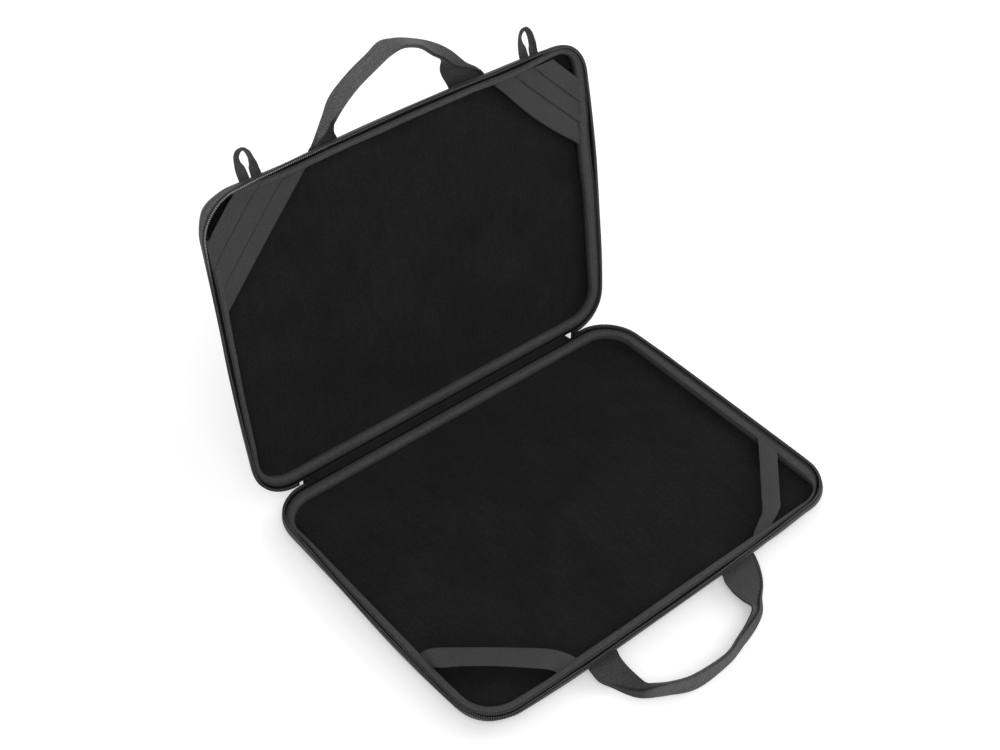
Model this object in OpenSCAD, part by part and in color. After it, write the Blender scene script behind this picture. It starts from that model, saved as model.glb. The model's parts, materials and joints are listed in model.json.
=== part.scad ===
// Moulded laptop hard case: two shallow foam halves joined by a fabric hinge
// along the back, with a zip round the other three sides, two webbing handles,
// two strap loops, corner bands in the lid and corner straps in the base.
// The origin is the middle of the flat bottom face of the base. The hinge runs
// along X, the handle side is at -Y, and the lid is drawn open.

/* [Case] */
// Width along the hinge, over the zip tape
case_w = 381; // [350:1:420]
// Depth from front to back, over the zip tape
case_d = 278; // [250:1:310]
// Corner radius seen from above, over the zip tape
corner_r = 37; // [34:1:44]
// Height of one half, from its flat face to the parting plane of the zip
half_h = 18.5; // [18:0.5:24]
// How far the rounded wall leans in, from the rim to the flat face
wall_sweep = 22; // [17:1:24]
// Angle between the closed lid and the lid as drawn
lid_open = 100; // [80:1:120]

/* [Shell layers] */
// Thickness of the woven outer cover
cover_t = 0.7; // [0.5:0.1:1]
// Foam thickness in the floor
foam_floor = 4.5; // [3:0.5:5]
// Foam thickness at the rim
foam_rim = 8.7; // [7:0.1:9.5]
// Thickness of the brushed lining
lining_t = 0.8; // [0.5:0.1:1.2]
// Rounding between the lined floor and the lined wall
lining_r = 3; // [2:0.5:3.5]

/* [Edge binding] */
// Thickness of the binding tape over the foam rim
binding_t = 0.6; // [0.4:0.1:0.8]
// How far the binding folds down the inside wall
binding_leg = 6; // [4:0.5:6.5]
// Open gutter between the zip tape and the binding
gutter = 3.3; // [2.5:0.1:4]

/* [Zip] */
// Thickness of the zip tape and of the hinge strip
tape_t = 0.7; // [0.5:0.1:0.8]
// How far the zip's parting plane stands above the foam rim
tape_reach = 3.5; // [3:0.1:4]
// Width of tape sewn to the outside of the shell
tape_margin = 6.5; // [5:0.5:8]
// Diameter of the zip coil
coil_d = 1.6; // [1.2:0.1:1.8]
// Gap between the two coils when the lid is closed
coil_gap = 0.4; // [0.3:0.1:0.6]

/* [Hinge] */
// Distance from each end of the hinge strip to the start of the rounded corner
strip_end = 12; // [11.5:0.5:30]
// How far the fold line lies below the parting plane
fold_drop = 4.8; // [4:0.1:5.5]
// Bare fabric on each side of the fold line
fold_gap = 1.2; // [1.2:0.1:1.5]

/* [Lid corner bands] */
// Width of one elastic band
band_w = 18; // [15:0.5:22]
// Step from one band to the next, across the corner
band_step = 13.3; // [10:0.1:15]
// Distance from the case's square corner to the innermost band edge
band_reach = 78; // [75:1:90]
// Thickness of a band
band_t = 0.8; // [0.6:0.1:1]
// Depth of the front band below the foam rim
band_drop = 0.4; // [0.3:0.1:1]

/* [Base corner straps] */
// Width of one elastic strap
strap_w = 16; // [13:1:20]
// Distance from the case's square corner to the strap's middle line
strap_reach = 64.5; // [60:0.5:75]
// Thickness of a strap
strap_t = 1; // [0.8:0.1:1.2]
// How much further from the corner the left strap ends at the front than at the side
strap_turn = 8; // [0:0.5:10]
// Height of the strap's crown above the bottom face
strap_top = 19.8; // [17:0.1:20]
// How far the strap rises from its sewn ends to its level part
strap_rise = 5; // [3:0.5:6]
// Distance from the side wall to the level part
strap_toe = 6; // [4:1:10]
// Distance from the front wall to the level part
strap_heel = 14; // [8:1:16]

/* [Handles] */
// Width of the handle webbing
web_w = 33; // [25:1:36]
// Thickness of one layer of webbing
web_t = 1.6; // [1.2:0.1:2]
// Height of the sewn handle line above the flat face of its half
handle_z = 11; // [10.5:0.5:13]
// Clearance between the swinging webbing and the zip tape
web_gap = 0.3; // [0.3:0.1:0.5]
// Middle of the handles' left ends, from the middle of the case
handle_left_x = -76; // [-90:1:-72]
// Middle of the handles' right ends, from the middle of the case
handle_right_x = 67; // [64:1:90]

/* [Strap loops] */
// Width of the narrow loop webbing
loop_w = 9; // [7:0.5:10]
// Thickness of the loop webbing
loop_t = 1.4; // [1:0.1:1.8]
// Height of a loop above the lid's edge
loop_h = 21; // [18:0.5:30]
// Distance from the case's left side to the middle of the left loop
loop_left_in = 53; // [45:1:65]
// Distance from the case's right side to the middle of the right loop
loop_right_in = 62; // [45:1:70]

/* [Zip sliders] */
// Length of a slider along the zip
slider_len = 8; // [7:0.5:8]
// Thickness of the slider's two plates
slider_plate = 1; // [0.8:0.1:1.2]
// Height of a slider
slider_h = 4.6; // [4.2:0.1:4.8]
// Width of the pull tab
pull_w = 5; // [4:0.5:6]
// Length of the pull tab, from its pivot
pull_len = 12.5; // [10:0.5:13]
// Thickness of the pull tab
pull_t = 0.9; // [0.8:0.1:1]

/* [Hidden] */
$fn = 32;

// Steps in each drawn arc of a cross-section
arc_steps = 8;
// Steps between two stations of a webbing strip
strip_steps = 3;
// A hair of clearance between two layers of cloth that lie on each other
ply_gap = 0.1;
// Gap that keeps a loose metal piece clear of the tape beside it
loose_gap = 0.15;

// Colours as the photograph shows them
fabric_black = [0.10, 0.10, 0.11];
lining_black = [0.07, 0.07, 0.075];
webbing_grey = [0.22, 0.22, 0.23];
tape_grey = [0.17, 0.17, 0.18];
foam_grey = [0.05, 0.05, 0.05];
metal_grey = [0.35, 0.35, 0.36];

// Heights in one half, measured from its flat face
rim_z = half_h - tape_reach;
tape_top = half_h - coil_gap;
foam_floor_z = cover_t + foam_floor;
coil_z = half_h - coil_gap / 2 - coil_d / 2;

// Radial places, measured from a corner's centre
cover_r = corner_r - tape_t;
foam_r = cover_r - cover_t;
lining_out_r = foam_r - foam_rim;
lining_in_r = lining_out_r - lining_t;
clear_r = lining_in_r - binding_t;
sweep_r = cover_r - wall_sweep;
coil_r = cover_r - coil_d / 2;

// Straight runs between the corner centres
run_x = case_w - 2 * corner_r;
run_y = case_d - 2 * corner_r;

// The hinge's fold line, and the length of the fabric strip along it
fold_y = case_d / 2 - tape_t / 2;
fold_z = half_h - fold_drop;
strip_len = run_x - 2 * strip_end;

// The handle ends turn about a line just outside the zip tape
web_axis_y = -(case_d / 2 + web_gap + web_t / 2);
loop_axis_y = -(case_d / 2 + web_gap + loop_t / 2);

// The sewn end of a webbing is this much thicker than the webbing
seam_swell = 1.2;

// How far a strap is drawn into the wall before it is trimmed there
strap_seat = 1;

// Points of an elliptical arc, for a cross-section
function arc(cx, cy, rx, ry, from, to, n = arc_steps) =
    [for (i = [0 : n]) let (a = from + (to - from) * i / n) [cx + rx * cos(a), cy + ry * sin(a)]];

// Angle at which the outside wall is a given height below the rim
function wall_angle(drop) = asin(drop / rim_z);

// ---- Placing -------------------------------------------------------------

// Carries a cross-section round the case: its X is the distance out from the
// corner centres, its Y is the height. gap_len leaves out the middle of the back.
module around(gap_len = 0) {
    back_run = (run_x - gap_len) / 2;
    for (side = [-1, 1])
        translate([side * run_x / 2, side * run_y / 2, 0])
            rotate([90, 0, side > 0 ? 0 : 180])
                linear_extrude(run_y)
                    children();
    translate([-run_x / 2, -run_y / 2, 0])
        mirror([0, 1, 0])
            rotate([90, 0, 90])
                linear_extrude(run_x)
                    children();
    if (gap_len == 0)
        translate([-run_x / 2, run_y / 2, 0])
            rotate([90, 0, 90])
                linear_extrude(run_x)
                    children();
    else
        for (start = [-run_x / 2, gap_len / 2])
            translate([start, run_y / 2, 0])
                rotate([90, 0, 90])
                    linear_extrude(back_run)
                        children();
    for (quarter = [0 : 3])
        translate([(quarter == 0 || quarter == 3 ? 1 : -1) * run_x / 2,
                   (quarter < 2 ? 1 : -1) * run_y / 2, 0])
            rotate([0, 0, 90 * quarter])
                rotate_extrude(angle = 90)
                    children();
}

// Fills the middle of a floor between the corner centres
module middle(low, high) {
    translate([-run_x / 2, -run_y / 2, low])
        cube([run_x, run_y, high - low]);
}

// Runs a cross-section along the back, over the hinge strip's length
module along_hinge() {
    translate([-strip_len / 2, run_y / 2, 0])
        rotate([90, 0, 90])
            linear_extrude(strip_len)
                children();
}

// Turns what is drawn as a base half into the closed lid, then opens it
module lid_place() {
    translate([0, fold_y, fold_z])
        rotate([-lid_open, 0, 0])
            translate([0, -fold_y, 2 * half_h - fold_z])
                mirror([0, 0, 1])
                    children();
}

// The left or the right one of a mirrored pair
module on_side(side) {
    mirror([side > 0 ? 1 : 0, 0, 0])
        children();
}

// Stands at the front left corner: X runs across the corner, Y runs inwards
module at_corner(side) {
    on_side(side)
        translate([-case_w / 2, -case_d / 2, 0])
            rotate([0, 0, -45])
                children();
}

// The clear space inside the binding, as a tall block
module inside_block() {
    linear_extrude(2 * half_h)
        union() {
            square([run_x + 2 * clear_r, run_y], center = true);
            square([run_x, run_y + 2 * clear_r], center = true);
            for (x = [-1, 1], y = [-1, 1])
                translate([x * run_x / 2, y * run_y / 2])
                    circle(clear_r);
        }
}

// ---- Layers of one half --------------------------------------------------

module cover() {
    around()
        polygon(concat(arc(sweep_r, rim_z, wall_sweep, rim_z, 0, -90),
                       [[0, 0], [0, cover_t]],
                       arc(sweep_r, rim_z, wall_sweep - cover_t, rim_z - cover_t, -90, 0)));
    middle(0, cover_t);
}

module core() {
    around()
        polygon(concat(arc(sweep_r, rim_z, wall_sweep - cover_t, rim_z - cover_t, 0, -90),
                       [[0, cover_t], [0, foam_floor_z]],
                       arc(lining_out_r - lining_r, foam_floor_z + lining_r, lining_r, lining_r, -90, 0),
                       [[lining_out_r, rim_z]]));
    middle(cover_t, foam_floor_z);
}

module lining() {
    inner_r = lining_r - lining_t;
    around()
        polygon(concat([[0, foam_floor_z]],
                       arc(lining_out_r - lining_r, foam_floor_z + lining_r, lining_r, lining_r, -90, 0),
                       [[lining_out_r, rim_z], [lining_in_r, rim_z]],
                       arc(lining_in_r - inner_r, foam_floor_z + lining_r, inner_r, inner_r, 0, -90),
                       [[0, foam_floor_z + lining_t]]));
    middle(foam_floor_z, foam_floor_z + lining_t);
}

module edge_binding() {
    outer_r = cover_r - gutter;
    around()
        polygon([[outer_r, rim_z], [outer_r, rim_z + binding_t], [clear_r, rim_z + binding_t],
                 [clear_r, rim_z - binding_leg], [lining_in_r, rim_z - binding_leg],
                 [lining_in_r, rim_z]]);
}

// Cross-section of the tape: a margin on the rounded wall, then upright
module tape_section(top) {
    foot = -wall_angle(tape_margin);
    polygon(concat([[corner_r, top]],
                   arc(sweep_r, rim_z, wall_sweep + tape_t, rim_z, 0, foot),
                   arc(sweep_r, rim_z, wall_sweep, rim_z, foot, 0),
                   [[cover_r, top]]));
}

// The same, left out of the upright part
module margin_section(start) {
    from = -wall_angle(start);
    foot = -wall_angle(tape_margin);
    polygon(concat(arc(sweep_r, rim_z, wall_sweep + tape_t, rim_z, from, foot),
                   arc(sweep_r, rim_z, wall_sweep, rim_z, foot, from)));
}

// The zip tape's stretch beside the slider, at each end of the zip
stop_len = 1;
stop_end = slider_len + 2 * stop_len;

module base_tape() {
    around(strip_len)
        tape_section(tape_top);
}

module base_coil() {
    around(strip_len + 2 * stop_len)
        translate([coil_r, coil_z])
            circle(d = coil_d);
}

// The lid's tape is cut low beside the slider, so that the slider clears it
module lid_tape() {
    difference() {
        around(strip_len)
            tape_section(tape_top);
        for (side = [0, 1])
            on_side(side)
                translate([-strip_len / 2 - stop_end, run_y / 2, rim_z])
                    cube([stop_end + 1, 2 * corner_r, 2 * tape_reach]);
    }
}

module lid_coil() {
    around(strip_len + 2 * stop_end + 2 * stop_len)
        translate([coil_r, coil_z])
            circle(d = coil_d);
}

// Two small crimped stops, one at each end of a coil
module stops(start) {
    for (side = [0, 1])
        on_side(side)
            translate([-start - stop_len, run_y / 2 + cover_r - coil_d, coil_z - coil_d / 2])
                cube([stop_len, coil_d, coil_d]);
}

// ---- Elastic -------------------------------------------------------------

// One flat band across a lid corner. layer 0 is the one nearest the corner.
module corner_band(side, layer) {
    top = rim_z - band_drop - layer * (band_t + ply_gap);
    far_edge = band_reach - (2 - layer) * band_step;
    intersection() {
        at_corner(side)
            translate([-case_w / 2, far_edge - band_w, top - band_t])
                cube([case_w, band_w, band_t]);
        inside_block();
    }
}

// ---- Webbing -------------------------------------------------------------

function unit(v) = v / norm(v);

// A smooth curve through a list of points, with n steps from each to the next
function catmull(p, n) =
    let (last = len(p) - 1)
    [for (i = [0 : last - 1], k = [0 : n - 1])
        let (t = k / n, a = p[max(i - 1, 0)], b = p[i], c = p[i + 1], d = p[min(i + 2, last)])
        0.5 * (2 * b + (c - a) * t + (2 * a - 5 * b + 4 * c - d) * t * t
               + (3 * b - a - 3 * c + d) * t * t * t),
     p[last]];

// A strip of webbing between two edges, with its own thickness at each station
module webbing(edge_a, edge_b, plies) {
    a = catmull(edge_a, strip_steps);
    b = catmull(edge_b, strip_steps);
    t = catmull(plies, strip_steps);
    last = len(a) - 1;
    mid = (a + b) / 2;
    up = [for (i = [0 : last])
        unit(cross(mid[min(i + 1, last)] - mid[max(i - 1, 0)], b[i] - a[i])) * t[i] / 2];
    points = [for (i = [0 : last]) each [a[i] + up[i], b[i] + up[i], b[i] - up[i], a[i] - up[i]]];
    faces = concat([[0, 2, 1], [0, 3, 2]],
                   [for (i = [0 : last - 1], k = [0 : 3])
                       let (p = 4 * i + k, q = 4 * i + (k + 1) % 4)
                       each [[p, q, q + 4], [p, q + 4, p + 4]]],
                   [[4 * last, 4 * last + 1, 4 * last + 2], [4 * last, 4 * last + 2, 4 * last + 3]]);
    polyhedron(points, faces);
}

// One edge of a strap, from the side wall over the corner of what lies inside to the front wall
function strap_edge(reach, turn) =
    let (sum = reach * sqrt(2), wall = corner_r - clear_r,
         level = strap_top - strap_t / 2, low = level - strap_rise)
    [for (i = [0 : 8]) let (s = [[wall - strap_seat, sum - wall + strap_seat, low - strap_seat],
               [wall, sum - wall, low],
               [wall + strap_toe / 2, sum - wall - strap_toe / 2, level - strap_rise / 4],
               [wall + strap_toe, sum - wall - strap_toe, level],
               [sum / 2, sum / 2, level],
               [sum - wall - strap_heel, wall + strap_heel, level],
               [sum - wall - strap_heel / 2, wall + strap_heel / 2, level - strap_rise / 4],
               [sum - wall, wall, low],
               [sum - wall + strap_seat, wall - strap_seat, low - strap_seat]][i])
        [s[0] + turn * i / 8 - case_w / 2, s[1] - turn / 4 * (1 - i / 8) - case_d / 2, s[2]]];

// One strap across a front corner of the base, trimmed where it meets the binding
module corner_strap(side, turn) {
    on_side(side)
        intersection() {
            webbing(strap_edge(strap_reach - strap_w / 2, turn), strap_edge(strap_reach + strap_w / 2, turn),
                    [for (i = [0 : 8]) strap_t]);
            inside_block();
        }
}

// Stations of the base handle: how far along X, out from the wall, and up.
// Its ends lie flat, then the webbing folds double and stands on edge.
base_outer = [[0, 0, 0], [0.5, 6, -0.5], [3, 14, -3], [8, 25.5, -7], [15.5, 37.5, -9.4],
              [29.5, 46.5, -9.9], [47.5, 52, -10], [70.5, 56, -10]];
base_inner = [[33, 0, 0], [32, 6.5, -0.5], [28.5, 15, -1], [27, 26, 2], [30, 36.5, 4.8],
              [39.5, 44.5, 5.8], [54.5, 50.5, 6.2], [74.5, 54, 6.3]];
base_outer_right = [[-78.5, 56, -10], [-55.5, 51, -10], [-38.5, 44, -9.9], [-23.5, 34, -9.4],
                    [-10.5, 23.5, -7.5], [-2, 13.5, -3.5], [0, 6, -0.7], [0, 0, 0]];
base_inner_right = [[-80.5, 54, 6.3], [-63.5, 48.5, 6.2], [-48.5, 41, 6], [-38, 33, 5],
                    [-34, 24, 2.8], [-33, 14.5, 0.8], [-33, 6.5, 0.2], [-33, 0, 0]];
base_plies = [1, 1, 1.1, 1.4, 1.9, 2.1, 2.1, 2.1, 2.1, 2.1, 2.1, 2, 1.7, 1.2, 1, 1];

// Stations of the lid handle, which stands up in line with the lid
lid_outer = [[0, 0, 0], [5, 6, -0.5], [12.5, 14, -2], [20.5, 22.5, -2.5], [34.5, 33.5, -2],
             [54.5, 45, -1], [74.5, 53.5, -1], [92.5, 57, -2]];
lid_inner = [[33, 0, 0], [32, 6, 0], [32, 10.8, 1], [36.5, 15, 2], [46.5, 20.5, 2],
             [63.5, 30, 2], [80.5, 38.5, 2], [94.5, 44.5, 3]];
lid_outer_right = [[-67.5, 52.5, -4], [-52.5, 45, -5], [-39.5, 35.5, -4], [-27.5, 22.5, -2],
                   [-15.5, 11, -1], [-3.5, 4.5, 0], [0, 0, 0]];
lid_inner_right = [[-70.5, 45, 6], [-56.5, 37.5, 6.5], [-45.5, 27.5, 5], [-42.5, 17, 2],
                   [-37.5, 9, 0.5], [-33.5, 4.5, 0], [-33, 0, 0]];
lid_plies = [1, 1, 1.3, 1.8, 2.1, 2.1, 2.1, 2.1, 2.1, 2.1, 2, 1.6, 1.2, 1, 1];

// The webbing width at which the stations above were drawn
drawn_w = 33;

// Moves stations to their end of the handle, widened with the webbing
function at_left(p) =
    [for (s = p) [handle_left_x - web_w / 2 + s[0] * (s[0] > drawn_w ? 1 : web_w / drawn_w),
                  web_axis_y - s[1], handle_z + s[2]]];
function at_right(p) =
    [for (s = p) [handle_right_x + web_w / 2 + s[0] * (s[0] < -drawn_w ? 1 : web_w / drawn_w),
                  web_axis_y - s[1], handle_z + s[2]]];

module handle(outer, inner, outer_right, inner_right, plies) {
    webbing(concat(at_left(outer), at_right(outer_right)),
            concat(at_left(inner), at_right(inner_right)),
            plies * web_t);
    for (x = [handle_left_x, handle_right_x])
        translate([x - web_w / 2, web_axis_y, handle_z])
            rotate([0, 90, 0])
                cylinder(d = web_t * seam_swell, h = web_w);
}

// One leg of a strap loop, from its sewn end up to the crown
loop_edge_out = [[1, 0, 0], [1, 0.25, 0], [0.98, 0.5, 0.17], [0.8, 0.74, 0.4], [0.47, 0.92, 0.5]];
loop_edge_in = [[0.06, 0, 0], [0.1, 0.25, 0], [0.32, 0.5, -0.17], [0.47, 0.72, -0.4], [0.32, 0.88, -0.5]];

function loop_leg(edge, side) =
    [for (s = edge) [side * s[0] * (loop_w + loop_t / 2), loop_axis_y - s[1] * loop_h, handle_z + s[2] * loop_w]];
function backwards(p) = [for (i = [len(p) - 1 : -1 : 0]) p[i]];

module strap_loop() {
    crown_out = [[0, loop_axis_y - loop_h, handle_z + loop_w / 2]];
    crown_in = [[0, loop_axis_y - loop_h * 0.95, handle_z - loop_w / 2]];
    webbing(concat(loop_leg(loop_edge_out, -1), crown_out, backwards(loop_leg(loop_edge_out, 1))),
            concat(loop_leg(loop_edge_in, -1), crown_in, backwards(loop_leg(loop_edge_in, 1))),
            [for (i = [0 : 2 * len(loop_edge_out)]) loop_t]);
    translate([-loop_w - loop_t / 2, loop_axis_y, handle_z])
        rotate([0, 90, 0])
            cylinder(d = loop_t * seam_swell, h = 2 * loop_w + loop_t);
}

// ---- Zip slider and pull -------------------------------------------------

slider_x = -strip_len / 2 - stop_len - slider_len / 2;
slider_low = half_h - slider_h / 2;
slider_out_y = case_d / 2 + loose_gap;
slider_in_y = case_d / 2 - tape_t - coil_d - loose_gap;
bridge_low = tape_top + coil_gap / 2 + loose_gap;
bridge_high = slider_low + slider_h - loose_gap;
pull_y = slider_out_y + slider_plate + loose_gap;
pull_z = slider_low + slider_h / 2;
ear_d = 1.6;

module slider() {
    for (y = [slider_in_y - slider_plate, slider_out_y])
        translate([slider_x - slider_len / 2, y, slider_low])
            cube([slider_len, slider_plate, slider_h]);
    translate([slider_x - slider_len / 4, slider_in_y - slider_plate, bridge_low])
        cube([slider_len / 2, slider_out_y - slider_in_y + 2 * slider_plate, bridge_high - bridge_low]);
    // The pin that the pull hangs on, with its head
    translate([slider_x, slider_out_y + slider_plate / 2, pull_z])
        rotate([-90, 0, 0])
            cylinder(d = ear_d, h = slider_plate / 2 + 2 * loose_gap + pull_t);
    translate([slider_x, pull_y + pull_t + loose_gap, pull_z])
        rotate([-90, 0, 0])
            cylinder(d = 2 * ear_d, h = slider_plate / 2);
}

module pull() {
    eye_r = pull_w / 2;
    translate([slider_x, pull_y + pull_t, pull_z])
        rotate([90, 0, 0])
            linear_extrude(pull_t)
                difference() {
                    union() {
                        circle(eye_r);
                        translate([-eye_r, -pull_len + eye_r])
                            square([pull_w, pull_len - eye_r]);
                        translate([0, -pull_len + eye_r])
                            circle(eye_r);
                    }
                    circle(d = ear_d + 0.1);
                    translate([0, -pull_len + eye_r])
                        circle(eye_r / 2);
                }
}

// ---- Pieces of the base --------------------------------------------------

module base_cover() {
    color(fabric_black)
        cover();
}

module base_core() {
    color(foam_grey)
        core();
}

module base_lining() {
    color(lining_black)
        lining();
}

module base_edge_binding() {
    color(webbing_grey)
        edge_binding();
}

module base_zip_tape() {
    color(tape_grey)
        base_tape();
}

module base_zip_coil() {
    color(metal_grey)
        base_coil();
}

module base_zip_stops() {
    color(metal_grey)
        stops(strip_len / 2);
}

module base_strap(side) {
    color(webbing_grey)
        corner_strap(side, side == 0 ? strap_turn : 0);
}

// The half of the hinge fabric that is sewn to the base, up to the fold
module hinge_strip_lower() {
    color(fabric_black)
        along_hinge()
            margin_section(rim_z - fold_z + fold_gap);
}

module base_handle() {
    color(webbing_grey)
        handle(base_outer, base_inner, base_outer_right, base_inner_right, base_plies);
}

module zip_slider(side) {
    color(metal_grey)
        on_side(side)
            slider();
}

module zip_pull(side) {
    color(metal_grey)
        on_side(side)
            pull();
}

// ---- Pieces of the lid ---------------------------------------------------

module lid_cover() {
    color(fabric_black)
        lid_place()
            cover();
}

module lid_core() {
    color(foam_grey)
        lid_place()
            core();
}

module lid_lining() {
    color(lining_black)
        lid_place()
            lining();
}

module lid_edge_binding() {
    color(webbing_grey)
        lid_place()
            edge_binding();
}

module lid_zip_tape() {
    color(tape_grey)
        lid_place()
            lid_tape();
}

module lid_zip_coil() {
    color(metal_grey)
        lid_place()
            lid_coil();
}

module lid_zip_stops() {
    color(metal_grey)
        lid_place()
            stops(strip_len / 2 + stop_end);
}

// The half of the hinge fabric that is sewn to the lid, down to the fold
module hinge_strip_upper() {
    color(fabric_black)
        lid_place()
            along_hinge()
                tape_section(2 * half_h - fold_z - fold_gap);
}

module lid_band(side, layer) {
    color(webbing_grey)
        lid_place()
            corner_band(side, layer);
}

module lid_handle() {
    color(webbing_grey)
        lid_place()
            handle(lid_outer, lid_inner, lid_outer_right, lid_inner_right, lid_plies);
}

module strap_loop_at(x) {
    color(webbing_grey)
        lid_place()
            translate([x, 0, 0])
                strap_loop();
}

base_cover();
base_core();
base_lining();
base_edge_binding();
base_zip_tape();
base_zip_coil();
base_zip_stops();
base_strap(0);  // base_strap_left
base_strap(1);  // base_strap_right
hinge_strip_lower();
base_handle();
lid_cover();
lid_core();
lid_lining();
lid_edge_binding();
lid_zip_tape();
lid_zip_coil();
lid_zip_stops();
hinge_strip_upper();
lid_band(0, 2);  // lid_band_left_inner
lid_band(0, 1);  // lid_band_left_middle
lid_band(0, 0);  // lid_band_left_outer
lid_band(1, 2);  // lid_band_right_inner
lid_band(1, 1);  // lid_band_right_middle
lid_band(1, 0);  // lid_band_right_outer
lid_handle();
strap_loop_at(loop_left_in - case_w / 2);  // strap_loop_left
strap_loop_at(case_w / 2 - loop_right_in);  // strap_loop_right
zip_slider(0);  // zip_slider_left
zip_slider(1);  // zip_slider_right
zip_pull(0);  // zip_pull_left
zip_pull(1);  // zip_pull_right
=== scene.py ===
"""Dresses the laptop hard case: cloth, tapes, zip, webbing, elastic, stage and camera."""
import json
from math import asin, atan2, cos, degrees, pi, radians, sin, sqrt

import bmesh
import bpy
from mathutils import Matrix, Vector


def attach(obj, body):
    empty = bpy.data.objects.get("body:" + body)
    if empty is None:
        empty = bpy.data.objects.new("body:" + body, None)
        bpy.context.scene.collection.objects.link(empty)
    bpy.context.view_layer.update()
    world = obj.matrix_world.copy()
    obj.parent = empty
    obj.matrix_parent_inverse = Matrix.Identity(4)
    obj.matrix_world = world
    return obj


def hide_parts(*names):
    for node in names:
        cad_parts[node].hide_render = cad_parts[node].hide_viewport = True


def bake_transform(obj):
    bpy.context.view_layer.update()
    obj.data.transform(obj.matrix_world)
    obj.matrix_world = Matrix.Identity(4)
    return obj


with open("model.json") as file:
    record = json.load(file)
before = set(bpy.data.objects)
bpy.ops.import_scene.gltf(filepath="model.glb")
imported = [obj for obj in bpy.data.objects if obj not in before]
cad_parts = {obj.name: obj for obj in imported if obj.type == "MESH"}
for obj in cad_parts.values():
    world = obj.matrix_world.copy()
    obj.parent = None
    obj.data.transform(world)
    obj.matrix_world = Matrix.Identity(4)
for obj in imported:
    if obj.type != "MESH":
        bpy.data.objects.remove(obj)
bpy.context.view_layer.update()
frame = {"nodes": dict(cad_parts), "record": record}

bl_info = {
    "name": "Laptop hard case",
    "version": (1, 0, 0),
    "blender": (4, 5, 0),
    "location": "View3D > Sidebar > Case",
    "description": "Makes the cloth, tapes, zip, webbing and elastic of a moulded laptop case",
    "category": "Object",
}

MM = 0.001
HALVES = ("base", "lid")

# Small distances, in metres
CLEAR = 0.0001  # between the cover and the foam
FOAM_BACK = 0.0009  # from the lining's face to the foam behind it
BINDING_UP = 0.0006  # how high the binding stands on the rim
ZIP_GAP = 0.0004  # from the zip tape's edge to the parting plane
BEND_STEP = 0.0115  # between the cuts that let a rim bend
BACK = 0.1  # what lies further back along Y belongs to the case's back


def length(name, default, description):
    """A size in metres that the user may change."""
    return bpy.props.FloatProperty(name=name, default=default, description=description,
                                   min=0.0, unit="LENGTH", precision=4)


def colour(name, default, description):
    """A colour that the user may change."""
    return bpy.props.FloatVectorProperty(name=name, default=default, description=description,
                                         min=0.0, max=1.0, size=3, subtype="COLOR")


class CaseSizes(bpy.types.PropertyGroup):
    """Sizes of the case, as the solids have them."""
    width: length("Width", 0.381, "Width along the hinge, over the zip tape")
    depth: length("Depth", 0.278, "Depth from front to back, over the zip tape")
    corner: length("Corner radius", 0.037, "Corner radius over the zip tape")
    half: length("Half height", 0.0185, "Height of one half, to the zip's parting plane")
    rim: length("Rim height", 0.015, "Height of the foam rim of one half")
    sweep: length("Wall sweep", 0.022, "How far the rounded wall leans in")
    tape: length("Tape thickness", 0.0007, "Thickness of the zip tape")
    cloth: length("Cloth thickness", 0.0007, "Thickness of the outer cover and of the lining")
    sewn: length("Sewn margin", 0.0065, "How far down the wall the zip tape is sewn on")
    binding_out: length("Binding outer edge", 0.0330, "Binding's outer edge, from a corner's centre")
    binding_in: length("Binding inner edge", 0.0255, "Binding's inner edge, from a corner's centre")
    lining_in: length("Lining wall", 0.0261, "Lined wall, from a corner's centre")
    lining_bend: length("Lining bend", 0.0022, "Radius between the lined wall and floor")
    floor: length("Lined floor", 0.006, "Height of the lined floor of one half")
    fold_drop: length("Fold drop", 0.0048, "How far the fold lies below the parting plane")
    strip: length("Hinge strip", 0.283, "Length of the hinge strip")
    slider_room: length("Slider room", 0.010, "Room for a slider at each end of the zip")
    tooth_pitch: length("Tooth pitch", 0.00176, "Distance from one zip tooth to the next")
    web: length("Webbing width", 0.033, "Width of the handle webbing")
    web_thickness: length("Webbing thickness", 0.0014, "Thickness of one layer of webbing")
    loop_web: length("Loop width", 0.009, "Width of the loops' narrow webbing")
    stitch: length("Stitch length", 0.0028, "Length of one stitch")


class CaseColours(bpy.types.PropertyGroup):
    """Colours of the case's cloths and metals."""
    cover: colour("Cover", (0.016, 0.016, 0.0168), "Woven outer cloth")
    lining: colour("Lining", (0.0094, 0.0094, 0.0097), "Brushed lining")
    binding: colour("Binding", (0.048, 0.047, 0.0465), "Ribbed tape over the rim")
    tape: colour("Zip tape", (0.058, 0.058, 0.058), "Twill tape of the zip")
    coil: colour("Zip teeth", (0.060, 0.060, 0.061), "Moulded teeth of the zip")
    elastic: colour("Elastic", (0.047, 0.047, 0.047), "Bands and straps")
    webbing: colour("Webbing", (0.079, 0.079, 0.079), "Handles and loops")
    strip: colour("Hinge strip", (0.008, 0.008, 0.0085), "Fabric of the hinge")
    metal: colour("Zip metal", (0.060, 0.060, 0.062), "Sliders, pulls and stops")
    # Partly the foam's own black and partly painted shade: it is made darker to stand for the shade in the
    # gutter behind the zip, where only the foam shows
    foam: colour("Foam", (0.0035, 0.0035, 0.0036), "Moulded foam core")
    thread: colour("Thread", (0.030, 0.030, 0.030), "Sewing thread")


# ---- Modelling helpers ----------------------------------------------------

def fresh():
    """Leaves edit mode and deselects everything."""
    if bpy.context.mode != "OBJECT":
        leave_edit()
    bpy.ops.object.select_all(action="DESELECT")


def take(ob):
    """Makes ob the one selected and active object."""
    fresh()
    ob.select_set(True)
    bpy.context.view_layer.objects.active = ob


def discard(ob):
    """Deletes a pattern when its copies are made."""
    take(ob)
    bpy.ops.object.delete()


def named(name):
    """Names the object that was just added."""
    ob = bpy.context.object
    ob.name = name
    ob.data.name = name
    return ob


def copy_piece(ob, name):
    """A copy of a piece with its own mesh."""
    take(ob)
    bpy.ops.object.duplicate()
    return named(name)


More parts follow.
